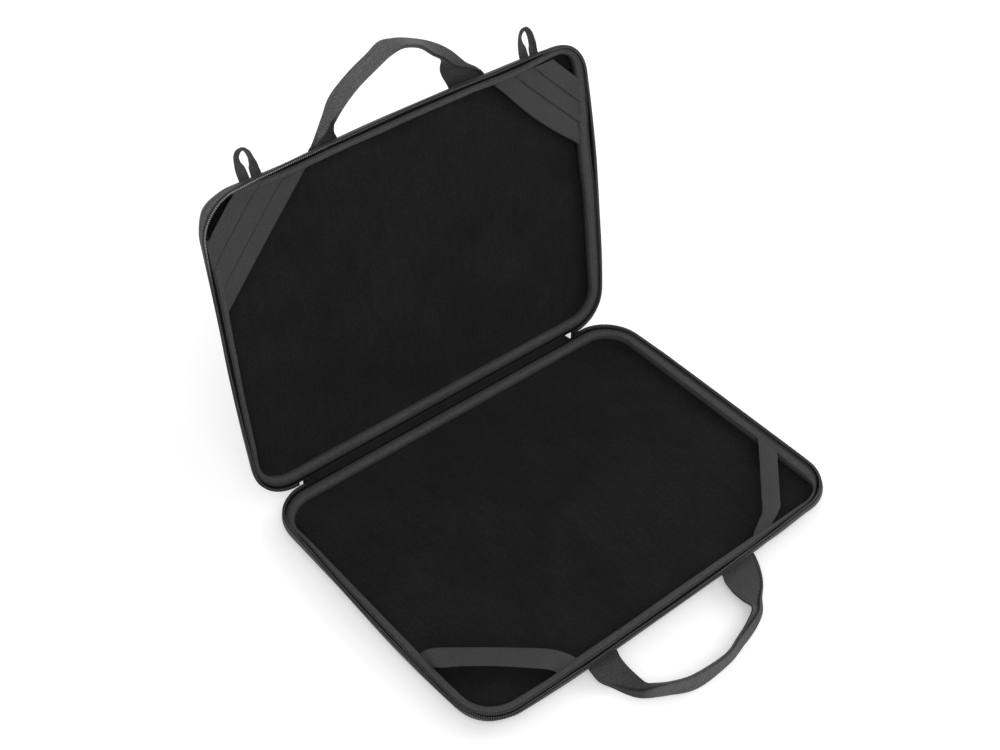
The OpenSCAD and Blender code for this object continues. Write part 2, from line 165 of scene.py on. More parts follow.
def edit(ob, mode="FACE"):
    """Goes into edit mode with everything selected."""
    take(ob)
    bpy.ops.object.mode_set(mode="EDIT")
    bpy.ops.mesh.select_mode(type=mode)
    bpy.ops.mesh.select_all(action="SELECT")


def leave_edit():
    """Goes back to object mode."""
    bpy.ops.object.mode_set(mode="OBJECT")


def pick_faces(ob, wanted):
    """In edit mode, selects the faces for which wanted(face) is true, and says whether there are any."""
    bm = bmesh.from_edit_mesh(ob.data)
    for f in bm.faces:
        f.select_set(bool(wanted(f)))
    bm.select_flush_mode()
    bmesh.update_edit_mesh(ob.data)
    return any(f.select for f in bm.faces)


def slice_at(point, way, **cleared):
    """In edit mode, cuts everything along a plane."""
    bpy.ops.mesh.select_all(action="SELECT")
    bpy.ops.mesh.bisect(plane_co=point, plane_no=way, **cleared)


def turn_over(ob):
    """Turns all faces of a piece the other way."""
    edit(ob)
    bpy.ops.mesh.flip_normals()
    leave_edit()


def face_out(ob):
    """Turns all faces of a piece outwards."""
    edit(ob)
    bpy.ops.mesh.normals_make_consistent(inside=False)
    leave_edit()


def apply_modifier(ob, kind, **values):
    """Adds a modifier, sets it and applies it."""
    take(ob)
    m = ob.modifiers.new(kind.title(), kind)
    for key, value in values.items():
        setattr(m, key, value)
    bpy.ops.object.modifier_apply(modifier=m.name)


def thicken(ob, thickness, offset=-1.0):
    """Gives cloth its thickness, inwards, or to both sides where offset is 0."""
    apply_modifier(ob, "SOLIDIFY", thickness=thickness, offset=offset)


def soften(ob, width):
    """Rounds the edges of a tape or a strap."""
    apply_modifier(ob, "BEVEL", width=width, segments=2, limit_method="ANGLE", angle_limit=radians(60))


def finish_mesh(ob, angle=35.0):
    """Settles the object's place in its mesh and smooths it."""
    take(ob)
    bpy.ops.object.transform_apply(location=True, rotation=True, scale=True)
    bpy.ops.object.shade_smooth_by_angle(angle=radians(angle))
    return ob


def uv_layer(ob):
    """The data of a piece's UV map."""
    layers = ob.data.uv_layers
    return (layers.get("UVMap") or layers.new(name="UVMap")).data


def lay_uv(ob, places):
    """Lays the UV map by a list with each vertex's u and v, in metres."""
    layer = uv_layer(ob)
    for loop in ob.data.loops:
        layer[loop.index].uv = places[loop.vertex_index]


def uv_round_case(ob, s, across):
    """Lays the UV map along the case's edge: u round the case and across(r, z) over the tape, in metres."""
    layer = uv_layer(ob)
    for f in ob.data.polygons:
        side = 1 if f.center.x >= 0 else -1
        for k in f.loop_indices:
            p = ob.data.vertices[ob.data.loops[k].vertex_index].co
            u, r, _ = round_case(s, p, side)
            layer[k].uv = (u, across(r, p.z))


def uv_by_side(ob):
    """Lays the UV map flat from the nearest side, so that a weave keeps its scale."""
    edit(ob)
    bpy.ops.uv.cube_project(cube_size=0.1, correct_aspect=False, clip_to_bounds=False,
                            scale_to_bounds=False)
    leave_edit()


def smooth_list(points, steps):
    """Points of a smooth curve through the given ones, with steps from each to the next."""
    points = [Vector(p) for p in points]
    last = len(points) - 1
    out = []
    for i in range(last):
        a, b, c, d = points[max(i - 1, 0)], points[i], points[i + 1], points[min(i + 2, last)]
        for k in range(steps):
            t = k / steps
            out.append(0.5 * (2 * b + (c - a) * t + (2 * a - 5 * b + 4 * c - d) * t * t
                              + (3 * b - a - 3 * c + d) * t ** 3))
    return out + [points[last]]


def lengths_along(points):
    """How far along a line each of its points lies."""
    run = [0.0]
    for a, b in zip(points, points[1:]):
        run.append(run[-1] + (b - a).length)
    return run


def ease(value, low, high):
    """Goes smoothly from 0 to 1 as value goes from low to high."""
    t = max(0.0, min(1.0, (value - low) / (high - low)))
    return t * t * (3 - 2 * t)


def between(table, at):
    """The value at a place on a smooth line through a table of (place, value) pairs."""
    last = len(table) - 1
    at = max(table[0][0], min(table[last][0], at))
    k = max(i for i in range(last) if table[i][0] <= at)

    def slope(i):
        if not 0 < i < last:
            return 0.0
        return (table[i + 1][1] - table[i - 1][1]) / (table[i + 1][0] - table[i - 1][0])
    (p, a), (q, b) = table[k], table[k + 1]
    w, t = q - p, (at - p) / (q - p)
    return ((1 + 2 * t) * (1 - t) ** 2 * a + t * (1 - t) ** 2 * w * slope(k)
            + t * t * (3 - 2 * t) * b + t * t * (t - 1) * w * slope(k + 1))


def cloth_strip(name, nx, ny, place, thickness, edge=0.0, angle=50.0):
    """A strip of cloth, nx by ny faces, whose points are moved to place(i / nx, j / ny).

    place gives each point and its u and v in metres; edge is the rounding of the strip's edges.
    """
    fresh()
    bpy.ops.mesh.primitive_grid_add(x_subdivisions=nx, y_subdivisions=ny, size=2, location=(0, 0, 0))
    ob = named(name)
    places = [place(round((v.co.x + 1) / 2 * nx) / nx, round((v.co.y + 1) / 2 * ny) / ny)
              for v in ob.data.vertices]
    lay_uv(ob, [uv for _, uv in places])
    for v, (point, _) in zip(ob.data.vertices, places):
        v.co = point
    face_out(ob)
    thicken(ob, thickness, 0.0)
    if edge:
        soften(ob, edge)
    return finish_mesh(ob, angle)


# ---- The case's outline and its place --------------------------------------

def runs(s):
    """Half the straight runs between the corners' centres, along X and Y."""
    return s.width / 2 - s.corner, s.depth / 2 - s.corner


def round_case(s, p, side=0):
    """Where a point lies: metres round the case from its front's middle, radius, and the way out."""
    side = side or (1 if p.x >= 0 else -1)
    rx, ry = runs(s)
    arc = s.corner * pi / 2
    ax = p.x * side
    dx, dy = max(ax - rx, 0), max(abs(p.y) - ry, 0)
    if p.y < -ry + 1e-9:
        u = ax if dx == 0 else rx + s.corner * atan2(dx, dy)
    elif dy == 0:
        u = rx + arc + p.y + ry
    else:
        u = rx + arc + 2 * ry + (s.corner * atan2(dy, dx) if dx > 0 else arc + rx - ax)
    r = sqrt(dx * dx + dy * dy)
    way = Vector((side * dx, dy if p.y > 0 else -dy, 0)) / r if r else Vector()
    return side * u, r, way


def plate(name, s, r, z):
    """A flat plate with the case's outline, at radius r from the corners' centres, left in edit mode."""
    fresh()
    rx, ry = runs(s)
    bpy.ops.mesh.primitive_plane_add(size=2, location=(0, 0, z))
    ob = named(name)
    bpy.ops.transform.resize(value=(rx + r, ry + r, 1))
    bpy.ops.object.transform_apply(location=True, rotation=True, scale=True)
    edit(ob, "VERT")
    bpy.ops.mesh.bevel(offset=r, segments=18, affect="VERTICES")
    bpy.ops.mesh.select_mode(type="FACE")
    bpy.ops.mesh.select_all(action="SELECT")
    return ob


def rim_piece(name, s, path, keep_floor=False, flip=False):
    """A piece that runs right round the case, its cross-section given as (radius, height) points."""
    ob = plate(name, s, *path[0])
    for (r, z), (r2, z2) in zip(path, path[1:]):
        if abs(r - r2) < 1e-7:
            bpy.ops.mesh.extrude_region_move(TRANSFORM_OT_translate={"value": (0, 0, z2 - z)})
        else:
            bpy.ops.mesh.inset(thickness=r - r2, depth=z2 - z, use_even_offset=True)
    low = path[-1][1]
    pick_faces(ob, lambda f: len(f.verts) > 8
               and not (keep_floor and abs(f.calc_center_median().z - low) < 1e-6))
    bpy.ops.mesh.delete(type="ONLY_FACE")
    bpy.ops.mesh.select_all(action="SELECT")
    bpy.ops.mesh.remove_doubles(threshold=1e-6)
    if flip:
        bpy.ops.mesh.flip_normals()
    leave_edit()
    return ob


def open_back(ob, half_gap, above=-1.0):
    """Opens the middle of the back, where the hinge strip or a slider goes."""
    def at_back(f):
        return f.calc_center_median().y > BACK

    def in_gap(f):
        middle = f.calc_center_median()
        return at_back(f) and abs(middle.x) < half_gap - 1e-5 and middle.z > above
    for x in (-half_gap, half_gap):
        edit(ob)
        if pick_faces(ob, at_back):
            bpy.ops.mesh.bisect(plane_co=(x, 0, 0), plane_no=(1, 0, 0))
    edit(ob)
    if pick_faces(ob, in_gap):
        bpy.ops.mesh.delete(type="FACE")
    leave_edit()


def cut_up(ob):
    """Cuts a piece at even steps along its sides, so that its edge can bend."""
    edit(ob)
    for count, way in ((13, Vector((1, 0, 0))), (8, Vector((0, 1, 0)))):
        for k in range(-count, count + 1):
            slice_at(way * (k * BEND_STEP), way)
    leave_edit()
    return ob


def fold_line(s):
    """A point on the hinge's fold line."""
    return Vector((0, s.depth / 2 - s.tape / 2, s.half - s.fold_drop))


def lid_matrix(s):
    """Carries a base half over to the lid, as it stands open."""
    fold = fold_line(s)
    lid_joint = next(j for j in frame["record"]["behaviour"]["joints"] if j["name"] == "lid_hinge")
    turn = Matrix.Rotation(-radians(lid_joint["range_deg"][1]), 4, "X")
    closed = Matrix.Translation((0, 0, 2 * s.half)) @ Matrix.Scale(-1, 4, (0, 0, 1))
    return Matrix.Translation(fold) @ turn @ Matrix.Translation(-fold) @ closed


def to_lid(ob, s):
    """Moves a piece that was made as a base half to its place on the lid."""
    ob.data.transform(lid_matrix(s))
    turn_over(ob)
    return ob


def dress(ob, body, slot, material, *nodes):
    """Gives the piece its finish, rides it on its body if it has one and hides what it stands for."""
    ob.data.materials.clear()
    ob.data.materials.append(material)
    if body:
        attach(ob, body)
    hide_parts(*nodes)
    return ob


def make_both(plain, s, suffix, shape, slot, material, node, angle=35.0):
    """Makes base and lid from one plain half: copies it, shapes the copy, finishes and dresses it."""
    pieces = []
    for half in HALVES:
        ob = copy_piece(plain, half + suffix)
        shape(ob, half)
        finish_mesh(ob, angle)
        if half == "lid":
            to_lid(ob, s)
        pieces.append(dress(ob, half, slot, material, half + node))
    discard(plain)
    return pieces


# ---- Shader effects that several finishes share ---------------------------

class Wires:
    """Places nodes in a node tree and joins them."""

    def __init__(self, tree):
        self.tree = tree

    def node(self, kind, **values):
        """A new node with these settings."""
        n = self.tree.nodes.new(kind)
        for key, value in values.items():
            setattr(n, key, value)
        return n

    def set(self, socket, value):
        """Joins a socket to another one, or gives it a value."""
        if isinstance(value, bpy.types.NodeSocket):
            self.tree.links.new(value, socket)
        else:
            socket.default_value = value

    def fill(self, n, values):
        """Sets a node's first inputs, and gives its first output."""
        for socket, value in zip(n.inputs, values):
            self.set(socket, value)
        return n.outputs[0]

    def math(self, operation, a, b=0.0, c=0.0):
        return self.fill(self.node("ShaderNodeMath", operation=operation), (a, b, c))

    def ramp(self, value, low, high, out_low=0.0, out_high=1.0):
        return self.fill(self.node("ShaderNodeMapRange"), (value, low, high, out_low, out_high))

    def split(self, vector):
        n = self.node("ShaderNodeSeparateXYZ")
        self.set(n.inputs[0], vector)
        return n.outputs

    def away(self, value, middle, width):
        """How many widths value lies away from middle."""
        return self.math("DIVIDE", self.math("ABSOLUTE", self.math("SUBTRACT", value, middle)), width)

    def mix(self, factor, a, b):
        n = self.node("ShaderNodeMix", data_type="RGBA")
        self.set(n.inputs[0], factor)
        self.set(n.inputs[6], a)
        self.set(n.inputs[7], b)
        return n.outputs[2]

    def times(self, colour, factor):
        """A colour times a number."""
        n = self.node("ShaderNodeVectorMath", operation="SCALE")
        self.set(n.inputs[0], colour)
        self.set(n.inputs["Scale"], factor)
        return n.outputs[0]

    def mapped(self, vector, how, value):
        """A vector scaled or turned about the origin."""
        n = self.node("ShaderNodeMapping")
        self.set(n.inputs["Vector"], vector)
        n.inputs[how].default_value = value
        return n.outputs[0]

    def noise(self, vector, scale, detail=2.0, rough=0.5):
        n = self.node("ShaderNodeTexNoise")
        self.set(n.inputs["Vector"], vector)
        n.inputs["Scale"].default_value = scale
        n.inputs["Detail"].default_value = detail
        n.inputs["Roughness"].default_value = rough
        return n.outputs["Fac"]


def effect(name, inputs, outputs, make):
    """A shader node group, built once, that works on a vector and other named inputs."""
    if name in bpy.data.node_groups:
        return bpy.data.node_groups[name]
    tree = bpy.data.node_groups.new(name, "ShaderNodeTree")
    tree.interface.new_socket(name="Vector", in_out="INPUT", socket_type="NodeSocketVector")
    for label, value in inputs.items():
        kind = "NodeSocketColor" if value is None else "NodeSocketFloat"
        socket = tree.interface.new_socket(name=label, in_out="INPUT", socket_type=kind)
        if value is not None:
            socket.default_value = value
    for label in outputs:
        kind = "NodeSocketColor" if label == "Colour" else "NodeSocketFloat"
        tree.interface.new_socket(name=label, in_out="OUTPUT", socket_type=kind)
    w = Wires(tree)
    source, sink = w.node("NodeGroupInput"), w.node("NodeGroupOutput")
    for label, value in make(w, source.outputs).items():
        w.set(sink.inputs[label], value)
    return tree


def weave_effect():
    """Plain-woven cloth: threads that pass over and under one another."""
    def make(w, i):
        u, v, _ = w.split(i["Vector"])
        u, v = w.math("DIVIDE", u, i["Pitch"]), w.math("DIVIDE", v, i["Pitch"])
        odd = w.math("FLOORED_MODULO", w.math("ADD", w.math("FLOOR", u), w.math("FLOOR", v)), 2.0)
        su, sv = (w.math("SINE", w.math("MULTIPLY", w.math("FRACT", t), pi)) for t in (u, v))
        warp = w.math("MULTIPLY", su, w.math("MULTIPLY_ADD", sv, 0.5, 0.5))
        weft = w.math("MULTIPLY", sv, w.math("MULTIPLY_ADD", su, 0.5, 0.5))
        even = w.math("SUBTRACT", 1.0, odd)
        return {"Height": w.math("ADD", w.math("MULTIPLY", warp, odd), w.math("MULTIPLY", weft, even))}
    return effect("Plain weave", {"Pitch": 0.0007}, ["Height"], make)


def rib_effect():
    """Ribs that run across a tape, each broken by the threads that bind it."""
    def make(w, i):
        u, v, _ = w.split(i["Vector"])
        u = w.math("DIVIDE", u, i["Pitch"])
        v = w.math("DIVIDE", v, w.math("MULTIPLY", i["Pitch"], i["Binder"]))
        shift = w.math("MULTIPLY", w.math("FLOORED_MODULO", w.math("FLOOR", v), 2.0), 0.5)
        rib, binder = (w.math("ABSOLUTE", w.math("SINE", w.math("MULTIPLY", t, pi)))
                       for t in (w.math("ADD", u, shift), v))
        return {"Height": w.math("MULTIPLY", rib, w.math("MULTIPLY_ADD", binder, 0.45, 0.55))}
    return effect("Tape ribs", {"Pitch": 0.001, "Binder": 2.0}, ["Height"], make)


def stitch_effect():
    """One row of stitches along u, at a given v."""
    def make(w, i):
        u, v, _ = w.split(i["Vector"])
        off = w.away(v, i["Row"], i["Width"])
        along = w.math("PINGPONG", w.math("DIVIDE", u, i["Length"]), 0.5)
        thread = w.math("MULTIPLY", w.ramp(off, 0.35, 0.55, 1.0, 0.0), w.ramp(along, 0.06, 0.12))
        groove = w.ramp(off, 0.4, 1.4, 1.0, 0.0)
        height = w.math("SUBTRACT", w.math("MULTIPLY", thread, 1.2), groove)
        return {"Thread": thread, "Groove": groove, "Height": height}
    return effect("Stitch row", {"Row": 0.002, "Length": 0.0028, "Width": 0.0006},
                  ["Thread", "Groove", "Height"], make)


def handling_effect():
    """Dust and handling: slow changes of a colour over the piece, grain and lint."""
    def make(w, i):
        slow = w.noise(i["Vector"], 18.0, 3.0)
        grain = w.math("SUBTRACT", w.noise(i["Vector"], 620.0, 2.0, 0.6), 0.5)
        lint = w.ramp(w.noise(i["Vector"], 1400.0, 1.0), 0.68, 0.80)
        shade = w.math("MULTIPLY_ADD", w.math("SUBTRACT", slow, 0.5), i["Amount"], 1.0)
        shade = w.math("MULTIPLY", shade, w.math("MULTIPLY_ADD", grain, i["Grain"], 1.0))
        pale = (0.16, 0.16, 0.16, 1)
        return {"Colour": w.mix(w.math("MULTIPLY", lint, i["Lint"]), w.times(i["Colour"], shade), pale)}
    return effect("Handling", {"Colour": None, "Amount": 0.3, "Grain": 0.6, "Lint": 0.1}, ["Colour"], make)


def nap_effect():
    """Brushed cloth: short fibres that lie in patches."""
    def make(w, i):
        fine = w.noise(i["Vector"], 900.0, 3.0, 0.7)
        patch = w.noise(i["Vector"], 55.0, 3.0, 0.6)
        streak = w.noise(w.mapped(i["Vector"], "Scale", (1.0, 0.18, 0.18)), 260.0, 2.0, 0.6)
        height = w.math("ADD", w.math("MULTIPLY", fine, 0.7), w.math("MULTIPLY", patch, 0.3))
        shade = w.math("ADD", w.math("MULTIPLY", patch, 0.5), w.math("MULTIPLY", streak, 0.5))
        return {"Height": height, "Shade": shade}
    return effect("Brushed nap", {}, ["Height", "Shade"], make)


def shader_node(material, kind):
    """The one node of a kind in a new material or world."""
    return next(n for n in material.node_tree.nodes if n.type == kind)


class Finish:
    """A material under way: its shader, its coordinates and the effects placed in it."""

    def __init__(self, name, rough, specular, metallic=0.0):
        self.material = bpy.data.materials.new(name)
        self.material.use_nodes = True
        self.w = Wires(self.material.node_tree)
        self.shader = shader_node(self.material, "BSDF_PRINCIPLED")
        self.shader.inputs["Roughness"].default_value = rough
        self.shader.inputs["Specular IOR Level"].default_value = specular
        self.shader.inputs["Metallic"].default_value = metallic
        spots = self.w.node("ShaderNodeTexCoord")
        self.place, self.uv = spots.outputs["Object"], spots.outputs["UV"]

    def use(self, tree, **values):
        n = self.w.node("ShaderNodeGroup", node_tree=tree)
        for key, value in values.items():
            self.w.set(n.inputs[key], value)
        return n.outputs

    def aged(self, base, amount, grain, lint=0.0):
        """The base colour with dust and handling."""
        return self.use(handling_effect(), Vector=self.place, Colour=(*base, 1.0),
                        Amount=amount, Grain=grain, Lint=lint)["Colour"]

    def shaded(self, base, low, high, factor):
        """The base colour, from low to high times its value as factor goes from 0 to 1."""
        return self.w.times(base, self.w.ramp(factor, 0.0, 1.0, low, high))

    def bump(self, height, distance, strength=0.8, below=None):
        n = self.w.node("ShaderNodeBump")
        n.inputs["Strength"].default_value = strength
        n.inputs["Distance"].default_value = distance
        self.w.set(n.inputs["Height"], height)
        if below is not None:
            self.w.set(n.inputs["Normal"], below)
        return n.outputs[0]

    def done(self, tone, normal):
        """The material with its colour and its surface."""
        self.w.set(self.shader.inputs["Base Color"], tone)
        self.w.set(self.shader.inputs["Normal"], normal)
        return self.material


def woven(name, base, pitch, depth, strength, lint):
    """Plain-woven cloth."""
    f = Finish(name, 0.85, 0.2)
    height = f.use(weave_effect(), Vector=f.uv, Pitch=pitch)["Height"]
    tone = f.shaded(f.aged(base, 0.5, 0.9, lint), 0.55, 1.25, height)
    return f.done(tone, f.bump(height, depth, strength))


def ribbed(name, base, pitch, binder, low, high, grain, rough=0.7, specular=0.25, turn=False,
           painted_shade_line=None, margin=None, painted_end_shade=None, seam=None):
    """Tape or webbing: ribs, from low to high times the base colour, with what lies over them.

    The painted shade line along the tape has a place, a width and a shade. margin says where painted shade
    towards an edge begins, where it has its full shade, and that shade. seam is the place, stitch length
    and colour of a row of stitches. The painted shade on webbing towards its ends, where it turns away from
    the light, is given as from where to where, its shade, how that slants and is shifted, and between which
    places the right part gets painted shade too; on the loops' narrow webbing it darkens them all along.
    """
    f = Finish(name, rough, specular)
    vector = f.w.mapped(f.uv, "Rotation", (0, 0, pi / 2)) if turn else f.uv
    height = f.use(rib_effect(), Vector=vector, Pitch=pitch, Binder=binder)["Height"]
    tone = f.shaded(f.aged(base, 0.4, grain, 0.03), low, high, height)
    u, v, _ = f.w.split(f.uv)
    # Painted shade: a dark line along the tape, behind the zip's teeth and at the overlapped edges of the
    # bands
    if painted_shade_line:
        middle, width, shade = painted_shade_line
        tone = f.shaded(tone, shade, 1.0, f.w.ramp(f.w.away(v, middle, width), 0.35, 1.0))
    # Painted shade towards an edge: the binding's lip, where it rolls down, is painted darker
    if margin:
        start, end, shade = margin
        tone = f.shaded(tone, 1.0, shade, f.w.ramp(v, start, end))
    # Painted shade: webbing is painted darker towards its ends, where it turns from the light, and a
    # slanted line paints the shadow of a fold. The lid's zip tape uses it to paint shade away from its
    # front left corner.
    if painted_end_shade:
        near, far, shade, slant, shift, start, end = painted_end_shade
        off = f.w.math("ABSOLUTE", f.w.math("ADD", u, shift))
        off = f.w.math("ADD", off, f.w.math("MULTIPLY", v, slant))
        painted_turn_shade = f.w.math("MAXIMUM", f.w.ramp(off, near, far), f.w.ramp(u, start, end))
        tone = f.shaded(tone, 1.0, shade, painted_turn_shade)
    normal = f.bump(height, 0.00025, 0.7)
    if seam:
        row, stitch, thread = seam
        sewn = f.use(stitch_effect(), Vector=f.uv, Row=row, Length=stitch, Width=0.0007)
        dark = f.w.mix(f.w.math("MULTIPLY", sewn["Groove"], 0.55), tone, (0.004, 0.004, 0.004, 1))
        tone = f.w.mix(sewn["Thread"], dark, (*thread, 1.0))
        normal = f.bump(sewn["Height"], 0.0004, 0.8, normal)
    return f.done(tone, normal)


# ---- The finishes ----------------------------------------------------------

def cover_cloth(c, s):
    return woven("Woven cover", c.cover, 0.0009, 0.00022, 0.8, 0.04)


def hinge_cloth(c, s):
    return woven("Hinge strip cloth", c.strip, 0.0006, 0.00015, 0.7, 0.02)


def lining_cloth(c, s):
    f = Finish("Brushed lining", 1.0, 0.12)
    nap = f.use(nap_effect(), Vector=f.place)
    tone = f.shaded(f.aged(c.lining, 0.8, 1.5, 0.05), 0.55, 1.5, nap["Shade"])
    return f.done(tone, f.bump(nap["Height"], 0.0005, 0.9))


def binding_tape(c, s):
    # Past 9.2 mm across, where the binding rolls down into its lip, it is painted darker as painted shade
    return ribbed("Rim binding", c.binding, 0.0012, 1.6, 0.5, 1.35, 1.3, margin=(0.0092, 0.0104, 0.3),
                  seam=(0.0012, s.stitch, c.thread))


def zip_tape(c, s, name, lit, painted_end_shade):
    """The zip's twill; lit is how much lighter its colour is painted, as painted light."""
    # Painted shade: a dark line along the tape's top, behind the teeth, stands in for the shade between
    # them
    return ribbed(name, [v * lit for v in c.tape], 0.0013, 3.0, 0.5, 1.35, 1.2,
                  painted_shade_line=(0.0006, 0.0013, 0.28), painted_end_shade=painted_end_shade, seam=(0.0083, s.stitch, c.thread))


def zip_plastic(c, s):
    """The zip's teeth. The lid's get a painted highlight round its front left corner: painted glints that
    make them brighter.
    """
    f = Finish("Zip teeth", 0.38, 0.5)
    u, v, _ = f.w.split(f.uv)
    # Painted highlight: round the lid's front left corner the teeth are painted up to 4.6 times brighter,
    # standing in for glints of the lamp
    corner = f.w.math("MULTIPLY", f.w.ramp(u, -0.245, -0.205), f.w.ramp(u, -0.055, -0.145))
    painted_glint_term = f.w.math("MULTIPLY", corner, f.w.math("SUBTRACT", 1.0, v))
    tone = f.shaded(f.aged(c.coil, 0.8, 1.4), 1.0, 4.6, painted_glint_term)
    return f.done(tone, f.bump(f.w.noise(f.place, 2500.0), 0.00005, 0.4))


def elastic_cloth(c, s, name, painted_shade_line):
    return ribbed(name, c.elastic, 0.0011, 1.6, 0.78, 1.14, 0.6, rough=0.8, specular=0.18, turn=True,
                  painted_shade_line=painted_shade_line)


def webbing_cloth(c, s, name, painted_end_shade):
    return ribbed(name, c.webbing, 0.0016, 1.7, 0.58, 1.2, 1.7, rough=0.62, painted_end_shade=painted_end_shade)


def lacquered_metal(c, s):
    f = Finish("Lacquered zip metal", 0.32, 0.5, 0.85)
    return f.done(f.aged(c.metal, 0.6, 0.5), f.bump(f.w.noise(f.place, 1200.0), 0.00004, 0.5))


def moulded_foam(c, s):
    f = Finish("Moulded foam", 0.95, 0.1)
    pores = f.w.noise(f.place, 1600.0, 3.0)
    return f.done(f.shaded(tuple(c.foam), 0.7, 1.3, pores), f.bump(pores, 0.0003, 0.6))


# Each finish: its maker and what that takes. The lid's zip tape is spread flat round the front left
# corner and has painted light there: its colour is painted lighter, with painted shade away from that
# corner.
MAKERS = {
    "cover": (cover_cloth,),
    "strip": (hinge_cloth,),
    "lining": (lining_cloth,),
    "binding": (binding_tape,),
    "base_tape": (zip_tape, "Zip tape twill", 1.0, None),
    "lid_tape": (zip_tape, "Lid zip tape twill", 1.32, (0.02, 0.05, 0.76, 0.0, 0.183, 1.0, 2.0)),
    "coil": (zip_plastic,),
    "elastic": (elastic_cloth, "Elastic", None),
    # Painted shadow: a dark line along each band's far edge, where it lies over the next band
    "band": (elastic_cloth, "Elastic band", (0.0, 0.0009, 0.42)),
    # Painted shade: the handles' ends where they turn from the light, the lid handle's fold as a slanted
    # painted shadow, and the right part of each grip. The loops' narrow webbing is made darker all along.
    "base_webbing": (webbing_cloth, "Webbing", (0.057, 0.067, 0.42, 0.0, 0.0, -0.02, 0.055)),
    "lid_webbing": (webbing_cloth, "Lid webbing", (0.073, 0.078, 0.2, 0.52, 0.005, 0.02, 0.09)),
    "loop": (webbing_cloth, "Narrow webbing", (-1.0, -0.5, 0.56, 0.0, 0.0, 0.5, 0.6)),
    "metal": (lacquered_metal,),
    "foam": (moulded_foam,),
}
FINISHES = {}


def finish_named(key, context):
    """The finish for a kind of piece, made the first time it is asked for."""
    if key not in FINISHES:
        maker, *values = MAKERS[key]
        FINISHES[key] = maker(context.scene.case_colours, context.scene.case_sizes, *values)
    return FINISHES[key]


# ---- Cross-sections and edges of one half ----------------------------------

def wall_path(s, out, steps=12, end=90.0):
    """The rounded outside wall, out metres proud of the cover, as (radius, height) from the rim down.

    end is the angle at which it stops; at 90 it has reached the flat bottom.
    """
    centre = s.corner - s.tape - s.sweep
    angles = [radians(end * k / steps) for k in range(steps + 1)]
    return [(centre + (s.sweep + out) * cos(a), s.rim - s.rim * sin(a)) for a in angles]


def foot_angle(s):
    """Angle on the rounded wall at which the sewn tape ends."""
    return degrees(asin(s.sewn / s.rim))


